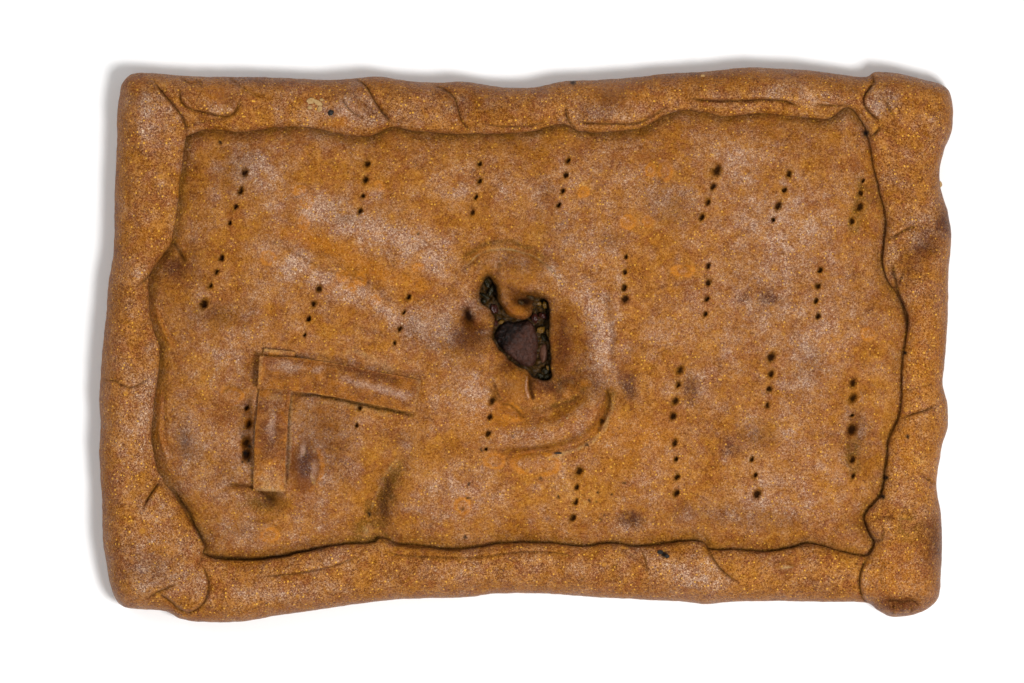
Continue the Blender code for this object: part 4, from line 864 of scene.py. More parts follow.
def folds(points, forms):
    """Lapped edges: height of the relief, and the painted shade of their creases at each point (0 to 1)."""
    height, crease = np.zeros((2, len(points)))
    for view_line, step, reach, depth in forms:
        line = stretched(smooth_line(view_line, 1.5), 1.5)
        near, distance, along, side = close_to(points, line, 2.5 * reach)
        ends = eased(FOLD_FADE * len(line) * np.minimum(along, 1.0 - along))
        lapped = quarter(distance / FOLD_NOSE) * np.exp(-np.maximum(distance - FOLD_NOSE, 0.0) / reach)
        groove = bell(distance / np.where(side > 0, 0.55, 0.95))
        height[near] += ends * (np.where(side > 0, step * lapped, 0.0) - depth * groove)
        # Painted shade in the crease
        dark = ends * min(1.0, 0.38 + 0.36 * depth) * bell(distance / 0.42)
        crease[near] = np.maximum(crease[near], dark)
    return height, crease


def cracks(points, forms):
    """Small creases: height of the relief, and their painted shade at each point (0 to 1)."""
    height, crease = np.zeros((2, len(points)))
    for view_line, depth, half_width in forms:
        near, distance, along, _ = close_to(points, smooth_line(view_line, 1.0), 4.0 * half_width)
        shape = tapered(along) * bell(distance / half_width)
        lifted = 0.3 * tapered(along) * bell((distance - 2.2 * half_width) / half_width)
        height[near] += depth * (lifted - shape)
        crease[near] = np.maximum(crease[near], 0.7 * min(1.0, depth) * shape)
    return height, crease


def ragged(loop, amount, seed):
    """A loop with small irregular waves."""
    return shifted(loop, amount * uneven(loop, ((1.0, 7.0, seed), (0.6, 2.6, seed + 1))))


OUTLINE = Loop(shifted(ragged(smooth_loop(OUTLINE_VIEW, OUTLINE_POINTS), 0.18, 21), -0.15))
SEAM = Loop(ragged(smooth_loop(SEAM_VIEW, SEAM_POINTS), 0.32, 23))
VENT = Loop(ragged(smooth_loop(VENT_VIEW, VENT_POINTS), 0.62, 25))


def place_pricks():
    """Centres, radii and depths of all the pricks."""
    rng = np.random.default_rng(7)
    holes = np.array([hole for row in PRICK_ROWS for hole in row])
    radii = PRICK_RADIUS * holes[:, 2] * rng.uniform(0.9, 1.1, len(holes))
    return plan(holes[:, :2]), radii, PRICK_DEPTH * rng.uniform(0.7, 1.0, len(holes))


PRICKS, PRICK_RADII, PRICK_DEPTHS = place_pricks()


def to_pricks(points):
    """For each point, the distance to the nearest prick over that prick's radius, and the prick's number."""
    share = np.full(len(points), 99.0)
    which = np.zeros(len(points), int)
    wavy = warped(points, 0.50, 1.5, 41)
    for number, (centre, radius) in enumerate(zip(PRICKS, PRICK_RADII)):
        near = around(points, centre, 6.0)
        offset = wavy[near] - centre
        offset = offset - PRICK_STRETCH * (offset @ PRICK_LEAN)[:, None] * PRICK_LEAN
        reach = np.linalg.norm(offset, axis=1) / radius
        closer = reach < share[near]
        share[near[closer]] = reach[closer]
        which[near[closer]] = number
    return share, which


def rim_top(points):
    """Height of the rim's outer surface above the seam, and the painted shade of its creases."""
    from_edge = np.maximum(OUTLINE.depth(points), 0.0)
    from_seam = np.maximum(-SEAM.depth(points), 0.0)
    crown = CROWN_Z + CROWN_SWAY * noise(points, 42.0, 3)
    height = EDGE_Z + (crown - EDGE_Z) * quarter(from_edge / WALL_ROUND)
    height = LIP_Z + (height - LIP_Z) * quarter(from_seam / LIP_ROUND)
    relief, crease = folds(points, RIM_FOLDS)
    small, thin = cracks(points, CREASES)
    relief += small + swellings(points, RIM_SWELLINGS) + uneven(points, RIM_UNEVEN)
    height = height + relief * quarter(from_edge / 5.0) * quarter(from_seam / 2.0 + 0.1)
    return np.minimum(height, CROWN_Z + HIGHEST_FOLD), np.maximum(crease, thin)


def lid_calm(points):
    """Height of the lid without its smaller forms."""
    inward = np.maximum(SEAM.depth(points) - 0.5, 0.0)
    dome = DOME_RISE * np.sin(0.5 * np.pi * np.minimum(inward / DOME_REACH, 1.0))
    return SEAM_Z + LID_RISE * (1.0 - np.exp(-inward / LID_REACH)) + dome


def blisters(points):
    """Height of the flat blisters, and how near each point is to one's rim and to its middle (0 to 1)."""
    height, rim, middle = np.zeros((3, len(points)))
    wavy = warped(points, 0.45, 3.0, 45)
    for centre, radii, rise, degrees in rounds(BLISTERS):
        near = around(points, centre, 1.6 * max(radii))
        along, across = turned(wavy[near] - centre, degrees)
        reach = np.hypot(along / radii[0], across / radii[1])
        height[near] += rise * eased((1.0 - reach) / 0.4)
        width = max(0.13, 0.8 / min(radii))
        broken = np.clip(0.95 + 0.8 * noise(points[near], 3.2, 46), 0.0, 1.0)
        rim[near] = np.maximum(rim[near], broken * bell((reach - 0.86) / width))
        middle[near] = np.maximum(middle[near], eased(1.2 - 1.5 * reach))
    return height, rim, middle


def lid_forms(points):
    """Height of the lid's own broad forms over its calm dome."""
    return ridges(points, LID_RIDGES) + swellings(points, LID_SWELLINGS) + 0.75 * noise(points, 24.0, 5)


def lid_top(points):
    """Height of the lid's upper surface, and the painted shade of its creases."""
    calm = lid_calm(points)
    small, crease = cracks(points, CREASES)
    relief = lid_forms(points) + blisters(points)[0] + small + uneven(points, LID_UNEVEN)
    share, which = to_pricks(points)
    relief -= PRICK_DEPTHS[which] * bell(share, 4)
    relief += 0.18 * bell((share - 1.9) / 0.6)
    from_vent = np.maximum(-VENT.depth(points), 0.0)
    tongue = swelling(points, plan(TONGUE_MIDDLE), (7.0, 4.5), -20)
    relief -= 2.2 * bell(from_vent / 2.2, 1.5) * (1.0 - 0.85 * tongue)
    relief -= 0.9 * bell(from_vent / 0.7)
    height = calm + relief * eased(SEAM.depth(points) / 3.0 - 0.5)
    return np.maximum(height, calm - LID_THICK + THINNEST), crease


def filling_top(points):
    """Height of the filling, which is open to view in the vent."""
    from_centre = ((points - plan(PIT_CENTRE)) / PIT_RADII) ** 2
    pit = PIT_DEPTH * bell(from_centre.sum(1))
    lumps = uneven(points, FILLING_UNEVEN) * (pit > 0.3 * PIT_DEPTH)
    return lid_calm(points) - LID_THICK - GAP - pit + lumps


def crust_top(points):
    """Height of the crust, the lid inside the seam and the rim outside it."""
    return np.where(SEAM.depth(points) > 0.0, lid_top(points)[0], rim_top(points)[0])


def staggered(loop, spacing, margin):
    """Points of a triangular grid inside a loop, at least a margin away from it."""
    low, high = loop.points.min(0), loop.points.max(0)
    rows = np.arange(low[1], high[1], spacing * np.sqrt(0.75))
    x, y = np.meshgrid(np.arange(low[0], high[0], spacing), rows)
    x = x + 0.5 * spacing * (np.arange(len(rows)) % 2)[:, None]
    points = np.stack([x.ravel(), y.ravel()], 1)
    return points[loop.depth(points) > margin]


def beside(view_line, *offsets):
    """Points along a line, at some offsets to its left."""
    line = smooth_line(view_line, FINE_STEP)
    return np.vstack([line + offset * leftward(line) for offset in offsets])


def clear_of(points, taken, gap):
    """The points that are at least a gap away from the ones already taken."""
    tree = tree_of(taken)
    return points[[tree.find((x, y, 0.0))[2] >= gap for x, y in points.tolist()]]


def thinned(points, gap):
    """The points without those that lie closer than a gap to an earlier one."""
    tree = tree_of(points)
    kept = np.ones(len(points), bool)
    for index, (x, y) in enumerate(points.tolist()):
        if kept[index]:
            for _, other, _ in tree.find_range((x, y, 0.0), gap):
                if other > index:
                    kept[other] = False
    return points[kept]


def link(name, data):
    """A new object in the scene."""
    body = bpy.data.objects.new(name, data)
    bpy.context.collection.objects.link(body)
    return body


class Shell:
    """The points and triangles of one closed body, and the painted shade of a crease at each point (0 to 1).
    """

    def __init__(self):
        self.points = np.empty((0, 3))
        self.creases = np.empty(0)
        self.faces = []

    def ring(self, places, height, crease=0.0):
        """Adds points at the given plan places and height, and returns their numbers."""
        first = len(self.points)
        heights = np.broadcast_to(height, len(places))
        self.points = np.vstack([self.points, np.column_stack([places, heights])])
        self.creases = np.append(self.creases, np.broadcast_to(crease, len(places)))
        return np.arange(first, len(self.points))

    def join(self, one, other):
        """Triangles between two closed rings that run the same way from the same start."""
        i = j = 0
        while i < len(one) or j < len(other):
            here = one[i % len(one)], other[j % len(other)]
            if (i + 1) * len(other) <= (j + 1) * len(one):
                i += 1
                self.faces.append((*here, one[i % len(one)]))
            else:
                j += 1
                self.faces.append((*here, other[j % len(other)]))

    def climb(self, last, rings):
        """Adds rings, each given by what ring() takes, joins each to the one before, and returns the last."""
        for given in rings:
            ring = self.ring(*given)
            self.join(last, ring)
            last = ring
        return last

    def cap(self, edge, holes, places, height, crease=0.0):
        """Triangles over the area inside the edge ring and outside the holes, by way of the places."""
        rings = [edge, *holes]
        used = np.concatenate([*rings, self.ring(places, height, crease)])
        flat = self.points[used, :2]
        links = []
        first = 0
        for ring in rings:
            links += [(first + k, first + (k + 1) % len(ring)) for k in range(len(ring))]
            first += len(ring)
        corners = [Vector(point) for point in flat.tolist()]
        triangles = np.array(delaunay_2d_cdt(corners, links, [], 0, 1e-6, False)[2])
        triangles = triangles[(triangles < len(used)).all(1)]
        middles = flat[triangles].mean(1)
        wanted = inside(middles, self.points[edge, :2])
        for hole in holes:
            wanted &= ~inside(middles, self.points[hole, :2])
        self.faces += used[triangles[wanted]].tolist()

    def build(self, name, material, paint):
        """Makes the object, with its faces pointing out, kept within the solids' box."""
        low, high = (np.array(corner) / MM for corner in solid_box)
        places = np.clip(self.points, low, high) * MM
        mesh = bpy.data.meshes.new(name)
        mesh.from_pydata(places.tolist(), [], [tuple(face) for face in self.faces])
        shape = bmesh.new()
        shape.from_mesh(mesh)
        bmesh.ops.recalc_face_normals(shape, faces=shape.faces)
        shape.to_mesh(mesh)
        shape.free()
        mesh.shade_smooth()
        for kind, values in paint.items():
            layer = mesh.attributes.new(kind, "FLOAT", "POINT")
            layer.data.foreach_set("value", np.asarray(values, np.float32))
        mesh.materials.append(material)
        return link(name, mesh)


def paint_of(flat, patches, strokes, specks):
    """The painted areas, strokes and specks at each place, by kind."""
    layers = {kind: np.zeros(len(flat)) for kind in KINDS}
    wavy = warped(flat, 1.3, 5.0, 71)
    for kind, forms in patches.items():
        for centre, radii, strength, degrees in rounds(forms):
            near = around(flat, centre, 2.4 * SCALE * max(radii))
            layers[kind][near] += strength * swelling(wavy[near], centre, SCALE * radii, degrees)
    for kind, forms in strokes.items():
        for view_line, half_width, strength in forms:
            line = smooth_line(view_line, 2.0)
            width = SCALE * half_width
            near = around(flat, line, 2.6 * width)
            ragged_places = flat[near] + min(1.0, 0.4 * width) * (wavy[near] - flat[near])
            distance, along, _ = nearest(ragged_places, line)
            stroke = strength * tapered(along, 0.1) * bell(distance / width)
            layers[kind][near] = np.maximum(layers[kind][near], stroke)
    for u, v, radius in specks:
        near = around(flat, plan((u, v)), 3.0)
        distance = np.linalg.norm(warped(flat[near], 0.5, 1.3, 73) - plan((u, v)), axis=1)
        layers["char_and_shade"][near] = np.maximum(layers["char_and_shade"][near], bell(distance / (SCALE * radius), 4))
    return layers


def paint_lid(layers, flat, from_seam):
    """Paints what goes with the lid's pricks, blisters, seam and vent, painted shade and highlights among it,
    and returns the painted shade of its dark creases.
    """
    share, _ = to_pricks(flat)
    slanted, _ = to_pricks(flat - PRICK_SLANT)
    # Painted shade inside each prick, a pale ring round it, and a painted highlight on its lit wall
    layers["olive_and_shade"] += 0.9 * bell(share / 1.7, 4)
    layers["pale_and_highlight"] += 0.30 * bell((share - 2.2) / 0.5)
    layers["toast_and_shade"] += 0.6 * bell(share / 1.45, 4)
    layers["honey_and_highlight"] += 0.6 * bell(slanted / 1.9, 3)
    # Blisters: a golden rim, and an orange middle with a painted highlight
    _, blister_rim, blister_middle = blisters(flat)
    bare = 1.0 - np.clip(layers["plum"] + layers["red"], 0.0, 1.0)
    layers["honey_and_highlight"] += 1.2 * blister_rim * bare
    layers["orange"] += 0.9 * blister_middle * bare
    layers["sheen"] += 0.30 * blister_middle * bare
    layers["gloss"] += np.maximum(blister_rim, blister_middle)
    # Painted shade along the seam, under the rim's lip, and on the vent's walls and edge
    inward = np.maximum(from_seam, 0.0)
    layers["olive_and_shade"] += 0.60 * np.exp(-inward / 4.5)
    layers["toast_and_shade"] += 0.45 * np.exp(-inward / 2.0)
    seam_line = 0.8 * np.clip(0.55 + 0.9 * noise(flat, 14.0, 79), 0.15, 1.0) * np.exp(-inward / 0.4)
    from_vent = np.maximum(-VENT.depth(flat), 0.0)
    layers["toast_and_shade"] += 0.8 * np.exp(-from_vent / 1.6)
    layers["olive_and_shade"] += 0.8 * bell(from_vent / 1.6)
    return np.maximum.reduce([0.95 * bell(share / 0.88, 8), seam_line, 0.6 * bell(from_vent / 0.4)])


def paint_rim(layers, from_edge, from_seam):
    """Paints the rim's edge, and returns the painted shade along the seam, under the rim's lip."""
    layers["orange"] += 1.0 * np.exp(-from_edge / 4.0)
    layers["toast_and_shade"] += 0.5 * np.exp(-from_edge / 3.0)
    return 0.6 * np.exp(-np.maximum(-from_seam, 0.0) / 0.3)


def painted(shell, lid):
    """The layers of colour and finish at each point of the crust, with painted shade and painted sheen,
    mostly from 0 to 1.
    """
    flat, height = shell.points[:, :2], shell.points[:, 2]
    layers = paint_of(flat, PATCHES, STROKES, SPECKS)
    from_seam = SEAM.depth(flat)
    from_edge = np.maximum(OUTLINE.depth(flat), 0.0)
    dark = paint_lid(layers, flat, from_seam) if lid else paint_rim(layers, from_edge, from_seam)
    layers["crease"] = np.maximum.reduce([layers["crease"], shell.creases, dark])
    # Painted sheen, stronger on raised parts, uneven, and weaker towards the outer edge
    crown = height - (lid_calm(flat) if lid else CROWN_Z)
    layers["broad_sheen"] += 0.10 + 0.35 * eased(0.5 * crown - 0.1)
    layers["broad_sheen"] += uneven(flat, BROAD_SHEEN_UNEVEN)
    layers["broad_sheen"] = np.maximum(layers["broad_sheen"], 0.0) * (0.85 + 0.6 * noise(flat, 5.0, 78))
    layers["broad_sheen"] *= 1.0 - 0.8 * np.exp(-from_edge / 4.0)
    return layers


def make_rim(material):
    """Bottom sheet, turned up at its edges and folded in over the lid."""
    shell = Shell()

    def top_rings(loop, outwards, calm):
        for places in (shifted(loop, outward, calm) for outward in outwards):
            yield places, *rim_top(places)

    def curl():
        for turn in CURL_TURNS:
            angle = np.radians(turn)
            wall = shifted(OUTLINE.points, -UNDERSIDE_INSET * (1.0 - np.cos(angle)), 25)
            rough = 0.25 * noise(wall, 6.0, 33) + 0.12 * noise(wall + 3.0 * turn, 2.5, 34)
            rough = np.minimum(rough * np.sin(2 * angle), 0.1)
            yield shifted(wall, rough), EDGE_Z * (1.0 - np.sin(angle))

    # Wall above the widest line, and below it to the flat underside
    edge = shell.ring(OUTLINE.points, EDGE_Z)
    above = shell.climb(edge, top_rings(OUTLINE.points, WALL_RINGS, 9))
    below = shell.climb(edge, curl())
    shell.cap(below, [], staggered(OUTLINE, 6.0, 9.0), 0.0)

    # Lip along the seam, and the recess and the hollow behind it
    lip = shell.ring(SEAM.points, *rim_top(SEAM.points))
    above_lip = shell.climb(lip, top_rings(SEAM.points, LIP_RINGS, 5))
    hollow = ((shifted(SEAM.points, outward, 15)[::each], height) for outward, height, each in RIM_HOLLOW)
    inner = shell.climb(lip, hollow)
    shell.cap(inner, [], staggered(SEAM, 20.0, 14.0), FLOOR_THICK)

    # Upper surface between the two, clear of their rings
    rows = [beside(line, -1.3, -0.8, -0.4, 0.0, 0.4, 0.8, 1.3) for line, *_ in RIM_FOLDS]
    rows += [beside(line, -0.4, 0.0, 0.4) for line, *_ in CREASES]
    rows = thinned(np.vstack(rows), 0.32)
    rows = rows[(OUTLINE.depth(rows) > 4.2) & (SEAM.depth(rows) < -2.6)]
    grid = staggered(OUTLINE, RIM_SPACING, 4.3)
    grid = clear_of(grid[SEAM.depth(grid) < -2.7], rows, 0.5)
    places = np.vstack([rows, grid])
    shell.cap(above, [above_lip], places, *rim_top(places))

    paint = painted(shell, False)
    height = shell.points[:, 2]
    paint["toast_and_shade"][height < EDGE_Z - 0.5] = 0.25
    # Dark specks and painted crease shade fade out low on the wall
    for kind in ("char_and_shade", "crease"):
        paint[kind] *= eased((height - 6.0) / 6.0)
    return shell.build("rim_crust", material, paint)


def make_lid(material):
    """Upper sheet, with its vent, pricks, collar and blisters."""
    shell = Shell()

    def top_ring(loop, outward, calm, each=1):
        places = shifted(loop, outward, calm)[::each]
        return places, *lid_top(places)

    # Edge, tucked in under the rim's lip
    upper = shell.ring(*top_ring(SEAM.points, LID_TUCK, 15, 4))
    lower = shell.ring(shifted(SEAM.points, LID_TUCK, 15)[::4], SEAM_Z - LID_THICK)
    shell.join(upper, lower)
    above = shell.climb(upper, (top_ring(SEAM.points, outward, 9, each) for outward, each in LID_RINGS))

    # Torn edge of the vent
    vent_edge = shell.ring(VENT.points, *lid_top(VENT.points))
    around_vent = shell.climb(vent_edge, (top_ring(VENT.points, outward, 3) for outward in (0.3, 0.7, 1.2)))
    edge_height = shell.points[vent_edge, 2]
    under_height = lid_calm(VENT.points) - LID_THICK
    inner = shell.climb(vent_edge, (
        (shifted(VENT.points, outward, 3), edge_height * (1 - share) + under_height * share)
        for share, outward in ((0.3, -0.12), (0.65, 0.1), (1.0, 0.5))
    ))

    # Upper surface, clear of the rings along the seam and the vent
    turns = np.arange(10) * 2.0 * np.pi / 10.0
    circle = np.stack([np.cos(turns), np.sin(turns)], 1)
    rows = [PRICKS]
    for reach in PRICK_RINGS:
        rows.append((PRICKS[:, None, :] + reach * PRICK_RADII[:, None, None] * circle).reshape(-1, 2))
    rows += [beside(line, -0.4, 0.0, 0.4) for line, *_ in CREASES]
    rows += [beside(line, -0.8, -0.3, 0.3, 0.8) for line, width, _ in LID_RIDGES if width < 2.5]
    rows = thinned(np.vstack(rows), 0.2)
    rows = rows[(SEAM.depth(rows) > 2.0) & (VENT.depth(rows) < -1.5)]
    grid = staggered(SEAM, LID_SPACING, 2.1)
    near_vent = swelling(grid, plan(VENT_MIDDLE), (30, 36)) > 0.2
    grid = np.vstack([grid, grid[near_vent] + (0.5 * LID_SPACING, 0.29 * LID_SPACING)])
    grid = clear_of(grid[VENT.depth(grid) < -1.5], rows, 0.5)
    places = np.vstack([rows, grid])
    shell.cap(above, [around_vent], places, *lid_top(places))

    # Underside
    under = staggered(SEAM, 12.0, 14.0)
    under = under[VENT.depth(under) < -5.0]
    shell.cap(lower, [inner], under, lid_calm(under) - LID_THICK)
    return shell.build("lid_crust", material, painted(shell, True))


def make_filling(material):
    """The filling under the lid, finely lumpy where the vent shows it."""
    shell = Shell()
    top = shell.ring(shifted(SEAM.points, 1.0, 15)[::8], SEAM_Z - LID_THICK - GAP)
    bottom = shell.climb(top, [(shifted(SEAM.points, -0.9, 15)[::8], FLOOR_THICK + GAP)])
    shell.cap(bottom, [], staggered(SEAM, 30.0, 14.0), FLOOR_THICK + GAP)
    coarse = staggered(SEAM, 12.0, 14.0)
    fine = staggered(SEAM, FILLING_SPACING, 14.0)
    places = np.vstack([coarse[VENT.depth(coarse) < -9.0], fine[VENT.depth(fine) > -6.0]])
    shell.cap(top, [], places, filling_top(places))
    return shell.build("filling_bed", material, {})


def make_chunk(name, view_outline, height, ridge, rough, material, seed):
    """A rough lump with a torn outline that lies in the hollow of the filling.

    Its top falls off to both sides of a ridge, given as a line, with painted light on the ridge's left side
    and painted shade on its right.
    """
    loop = Loop(ragged(smooth_loop(view_outline, 120), 0.25, seed))
    shell = Shell()
    floor = filling_top(loop.points).min() - 0.5
    crest = smooth_line(ridge, 0.5)

    def top(places):
        distance, _, side = nearest(places, crest)
        tilt = -np.where(side > 0.0, LEFT_FALL, RIGHT_FALL) * distance
        lumps = rough * uneven(places, ((1.0, 4.6, seed), (0.5, 1.9, seed + 1), (0.3, 0.9, seed + 2)))
        lumps -= 0.8 * rough * np.abs(noise(places, 3.2, seed + 3))
        return floor + height * (0.62 + 0.38 * quarter(loop.depth(places) / 2.2)) + tilt + lumps

    def shoulder(inward):
        places = shifted(loop.points, -inward, 4)
        return places, top(places) - 0.5 * (0.5 - inward)

    edge = shell.ring(loop.points, floor + 0.5 * (top(loop.points) - floor))
    above = shell.climb(edge, (shoulder(inward) for inward in (0.15, 0.5)))
    places = staggered(loop, CHUNK_SPACING, 0.8)
    shell.cap(above, [], places, top(places))
    bottom = shell.climb(edge, [(shifted(loop.points, -0.6, 4)[::3], floor)])
    shell.cap(bottom, [], staggered(loop, 2.5, 2.0), floor)
    distance, _, side = nearest(shell.points[:, :2], crest)
    # Painted light on the ridge's left side and painted shade on its right
    return shell.build(name, material, {"light": 0.9 * eased(0.5 + 0.18 * distance * side) - 0.4})


def make_bits(name, ground, material, seed):
    """Small lumps that lie on a ground, a function of the place."""
    rng = np.random.default_rng(seed)
    joined = bmesh.new()
    for u, v, *radii, degrees, lift in BITS[name]:
        made = bmesh.ops.create_icosphere(joined, subdivisions=4, radius=1.0)["verts"]
        directions = np.array([vertex.co for vertex in made])
        wobble = 1.0 + 0.26 * noise(directions[:, :2] * 1.3 + directions[:, 2:], 0.7, int(rng.integers(1000)))
        forms = directions * wobble[:, None] * radii
        spot = plan((u, v))
        x, y = turned(forms, -degrees)
        z = ground(spot[None, :])[0] + lift + forms[:, 2]
        for vertex, place in zip(made, zip(spot[0] + x, spot[1] + y, z)):
            vertex.co = Vector(place) * MM
    mesh = bpy.data.meshes.new(name)
    joined.to_mesh(mesh)
    joined.free()
    mesh.shade_smooth()
    mesh.materials.append(material)
    return link(name, mesh)


def make_strip(name, view_line, width, underside, thickness, profile, material, seed):
    """A flat bar of dough along a line.

    underside and thickness are functions of the place, and profile of how far across and along the bar a
    point lies.
    """
    line = evenly(spline(plan(view_line), False, 24), 90)
    across = np.sin(np.linspace(-0.5 * np.pi, 0.5 * np.pi, 23))
    rounded = 0.35 + 0.65 * quarter(4.2 * (1.0 - np.abs(across)) + 0.25)
    shell = Shell()
    rings = []
    for place, side, along in zip(line, leftward(line), np.linspace(0.0, 1.0, len(line))):
        half = 0.5 * width + 0.25 * noise(np.array([[along * 60.0, seed]]), 7.0, seed)[0]
        end = quarter(min(along, 1.0 - along) * len(line) / 2.0 + 0.5)
        upper = place + half * 0.985 * across[:, None] * side
        lower = place + half * 0.97 * across[:, None] * side
        base = underside(lower) - STRIP_BITE
        body = thickness(upper) * profile(across, along) * (0.75 + 0.25 * end)
        body += uneven(upper, ((0.10, 2.6, seed + 1), (0.12, 6.0, seed + 2)))
        low = shell.ring(lower[1:-1], base[1:-1])
        high = shell.ring(upper[::-1], (base + body * rounded)[::-1])
        rings.append(np.concatenate([low, high]))
    for one, other in zip(rings, rings[1:]):
        shell.join(one, other)
    for end, spot in ((rings[0], line[0]), (rings[-1], line[-1])):
        middle = shell.ring(spot[None, :], shell.points[end, 2].mean())[0]
        shell.faces += [(end[k], end[(k + 1) % len(end)], middle) for k in range(len(end))]
    flat = shell.points[:, :2]
    distance, along, _ = nearest(flat, line)
    edge = np.maximum(bell((0.5 * width - distance) / 0.7), bell(np.minimum(along, 1.0 - along) * 30.0))
    paint = paint_of(flat, STRIP_PATCHES, STRIP_STROKES, [])
    # Paler towards the cut edges, partly a painted highlight on them
    paint["toast_and_shade"] += 0.30 + 0.25 * noise(flat, 5.0, seed + 5) - 0.7 * edge
    paint["orange"] += 1.0 + 0.3 * noise(flat, 7.0, seed + 6)
    paint["red"] += 0.40 + 0.6 * noise(flat, 4.0, seed + 7)
    paint["pale_and_highlight"] += 0.35 * edge
    paint["gloss"] += 0.5 + 0.3 * noise(flat, 6.0, seed + 8)
    # Painted sheen over the strip
    paint["broad_sheen"] += 0.2 + 0.3 * noise(flat, 4.0, seed + 9)
    return shell.build(name, material, paint)


def make_strips(material):
    """The short strip lies on the lid, and the long one over the short one's upper end."""
    crossing = plan(CROSSING_VIEW)

    def under_long(points):
        away = np.linalg.norm((points - crossing) / CROSSING_REACH, axis=1)
        return quarter(1.0 - np.clip(away - 0.6, 0.0, 1.0))

    def bed(points):
        return lid_calm(points) + lid_forms(points)

    def short_thick(points):
        return STRIP_THICK - STRIP_SINK * under_long(points)

    def long_base(points):
        return bed(points) + (STRIP_THICK - STRIP_SINK + GAP) * under_long(points)

    def long_thick(points):
        return STRIP_THICK

    def cushioned(across, along):
        return 0.93 + 0.07 * (1.0 - across**2) - 0.12 * eased((along - 0.8) / 0.2)

    def sloped(across, along):
        slope = eased((across - 0.05) / 0.95) * eased((along - 0.25) / 0.15)
        return 0.92 + 0.08 * (1.0 - across**2) - 0.42 * slope

    short = make_strip("short_strip", SHORT_STRIP_VIEW, SHORT_STRIP_WIDTH, bed, short_thick, cushioned,
                       material, 81)
    long = make_strip("long_strip", LONG_STRIP_VIEW, LONG_STRIP_WIDTH, long_base, long_thick, sloped,
                      material, 91)
    return short, long


class Look:
    """A material under construction."""

    def __init__(self, name):
        self.material = bpy.data.materials.new(name)
        self.material.use_nodes = True
        self.tree = self.material.node_tree
        self.shader = self.tree.nodes["Principled BSDF"]
        coordinates = self.tree.nodes.new("ShaderNodeTexCoord").outputs["Object"]
        enlarged = self.tree.nodes.new("ShaderNodeVectorMath")
        enlarged.operation = "SCALE"
        self.place = self.set(enlarged, {0: coordinates, "Scale": 1.0 / MM}).outputs[0]

    def set(self, node, inputs):
        """Sets or links the inputs of a node."""
        for key, value in inputs.items():
            if isinstance(value, bpy.types.NodeSocket):
                self.tree.links.new(value, node.inputs[key])
            else:
                node.inputs[key].default_value = value
        return node

    def node(self, kind, inputs):
        """A new node with its inputs set or linked."""
        return self.set(self.tree.nodes.new(kind), inputs)

    def math(self, operation, one, other=0.0, clamp=False):
        node = self.node("ShaderNodeMath", {0: one, 1: other})
        node.operation = operation
        node.use_clamp = clamp
        return node.outputs[0]

    def times(self, one, other, clamp=False):
        return self.math("MULTIPLY", one, other, clamp)

    def attribute(self, name):
        node = self.tree.nodes.new("ShaderNodeAttribute")
        node.attribute_name = name
        return node.outputs["Fac"]

    def noise(self, size, detail, roughness, distortion=0.0):
        return self.node("ShaderNodeTexNoise", {
            "Vector": self.place, "Scale": 1.0 / size, "Detail": detail, "Roughness": roughness,
            "Distortion": distortion,
        }).outputs["Fac"]

    def between(self, value, low, high, out_low=0.0, out_high=1.0):
        values = {"Value": value, "From Min": low, "From Max": high, "To Min": out_low, "To Max": out_high}
        return self.node("ShaderNodeMapRange", values).outputs["Result"]

    def dots(self, spacing, size, share):
        """Scattered round dots: their spacing and radius in millimetres, and the share of places with one."""
        cells = self.node("ShaderNodeTexVoronoi", {"Vector": self.place, "Scale": 1.0 / spacing})
        chance = self.node("ShaderNodeSeparateColor", {"Color": cells.outputs["Color"]})
        radius = self.times(chance.outputs["Green"], size / spacing)
        near = self.math("SUBTRACT", radius, cells.outputs["Distance"])
        shape = self.between(near, 0.0, 0.35 * size / spacing)
        return self.times(shape, self.math("LESS_THAN", chance.outputs["Red"], share))

    def mix(self, factor, colour, tint, blend="MIX"):
        node = self.tree.nodes.new("ShaderNodeMix")
        node.data_type = "RGBA"
        node.blend_type = blend
        return self.set(node, {0: factor, 6: colour, 7: (*tint, 1.0)}).outputs[2]

    def ramp(self, value, stops):
        node = self.node("ShaderNodeValToRGB", {"Fac": value})
        bar = node.color_ramp
        while len(bar.elements) < len(stops):
            bar.elements.new(0.5)
        for element, (position, colour) in zip(bar.elements, stops):
            element.position = position
            element.color = (*colour, 1.0)
        return node.outputs["Color"]

    def sum(self, *parts):
        total = parts[0]
        for part in parts[1:]:
            total = self.math("ADD", total, part)
        return total

    def finish(self, colour, roughness, heights, **shine):
        """Sets the shader: colour, roughness, a list of (height, distance in millimetres), and constants."""
        normal = None
        for height, distance in heights:
            bump = self.node("ShaderNodeBump", {"Height": height, "Distance": distance * MM, "Strength": 1.0})
            if normal is not None:
                self.set(bump, {"Normal": normal})
            normal = bump.outputs["Normal"]
        self.set(self.shader, {"Base Color": colour, "Roughness": roughness, "Normal": normal})
        for key, value in shine.items():
            self.shader.inputs[key.replace("_", " ")].default_value = value
        return self.material


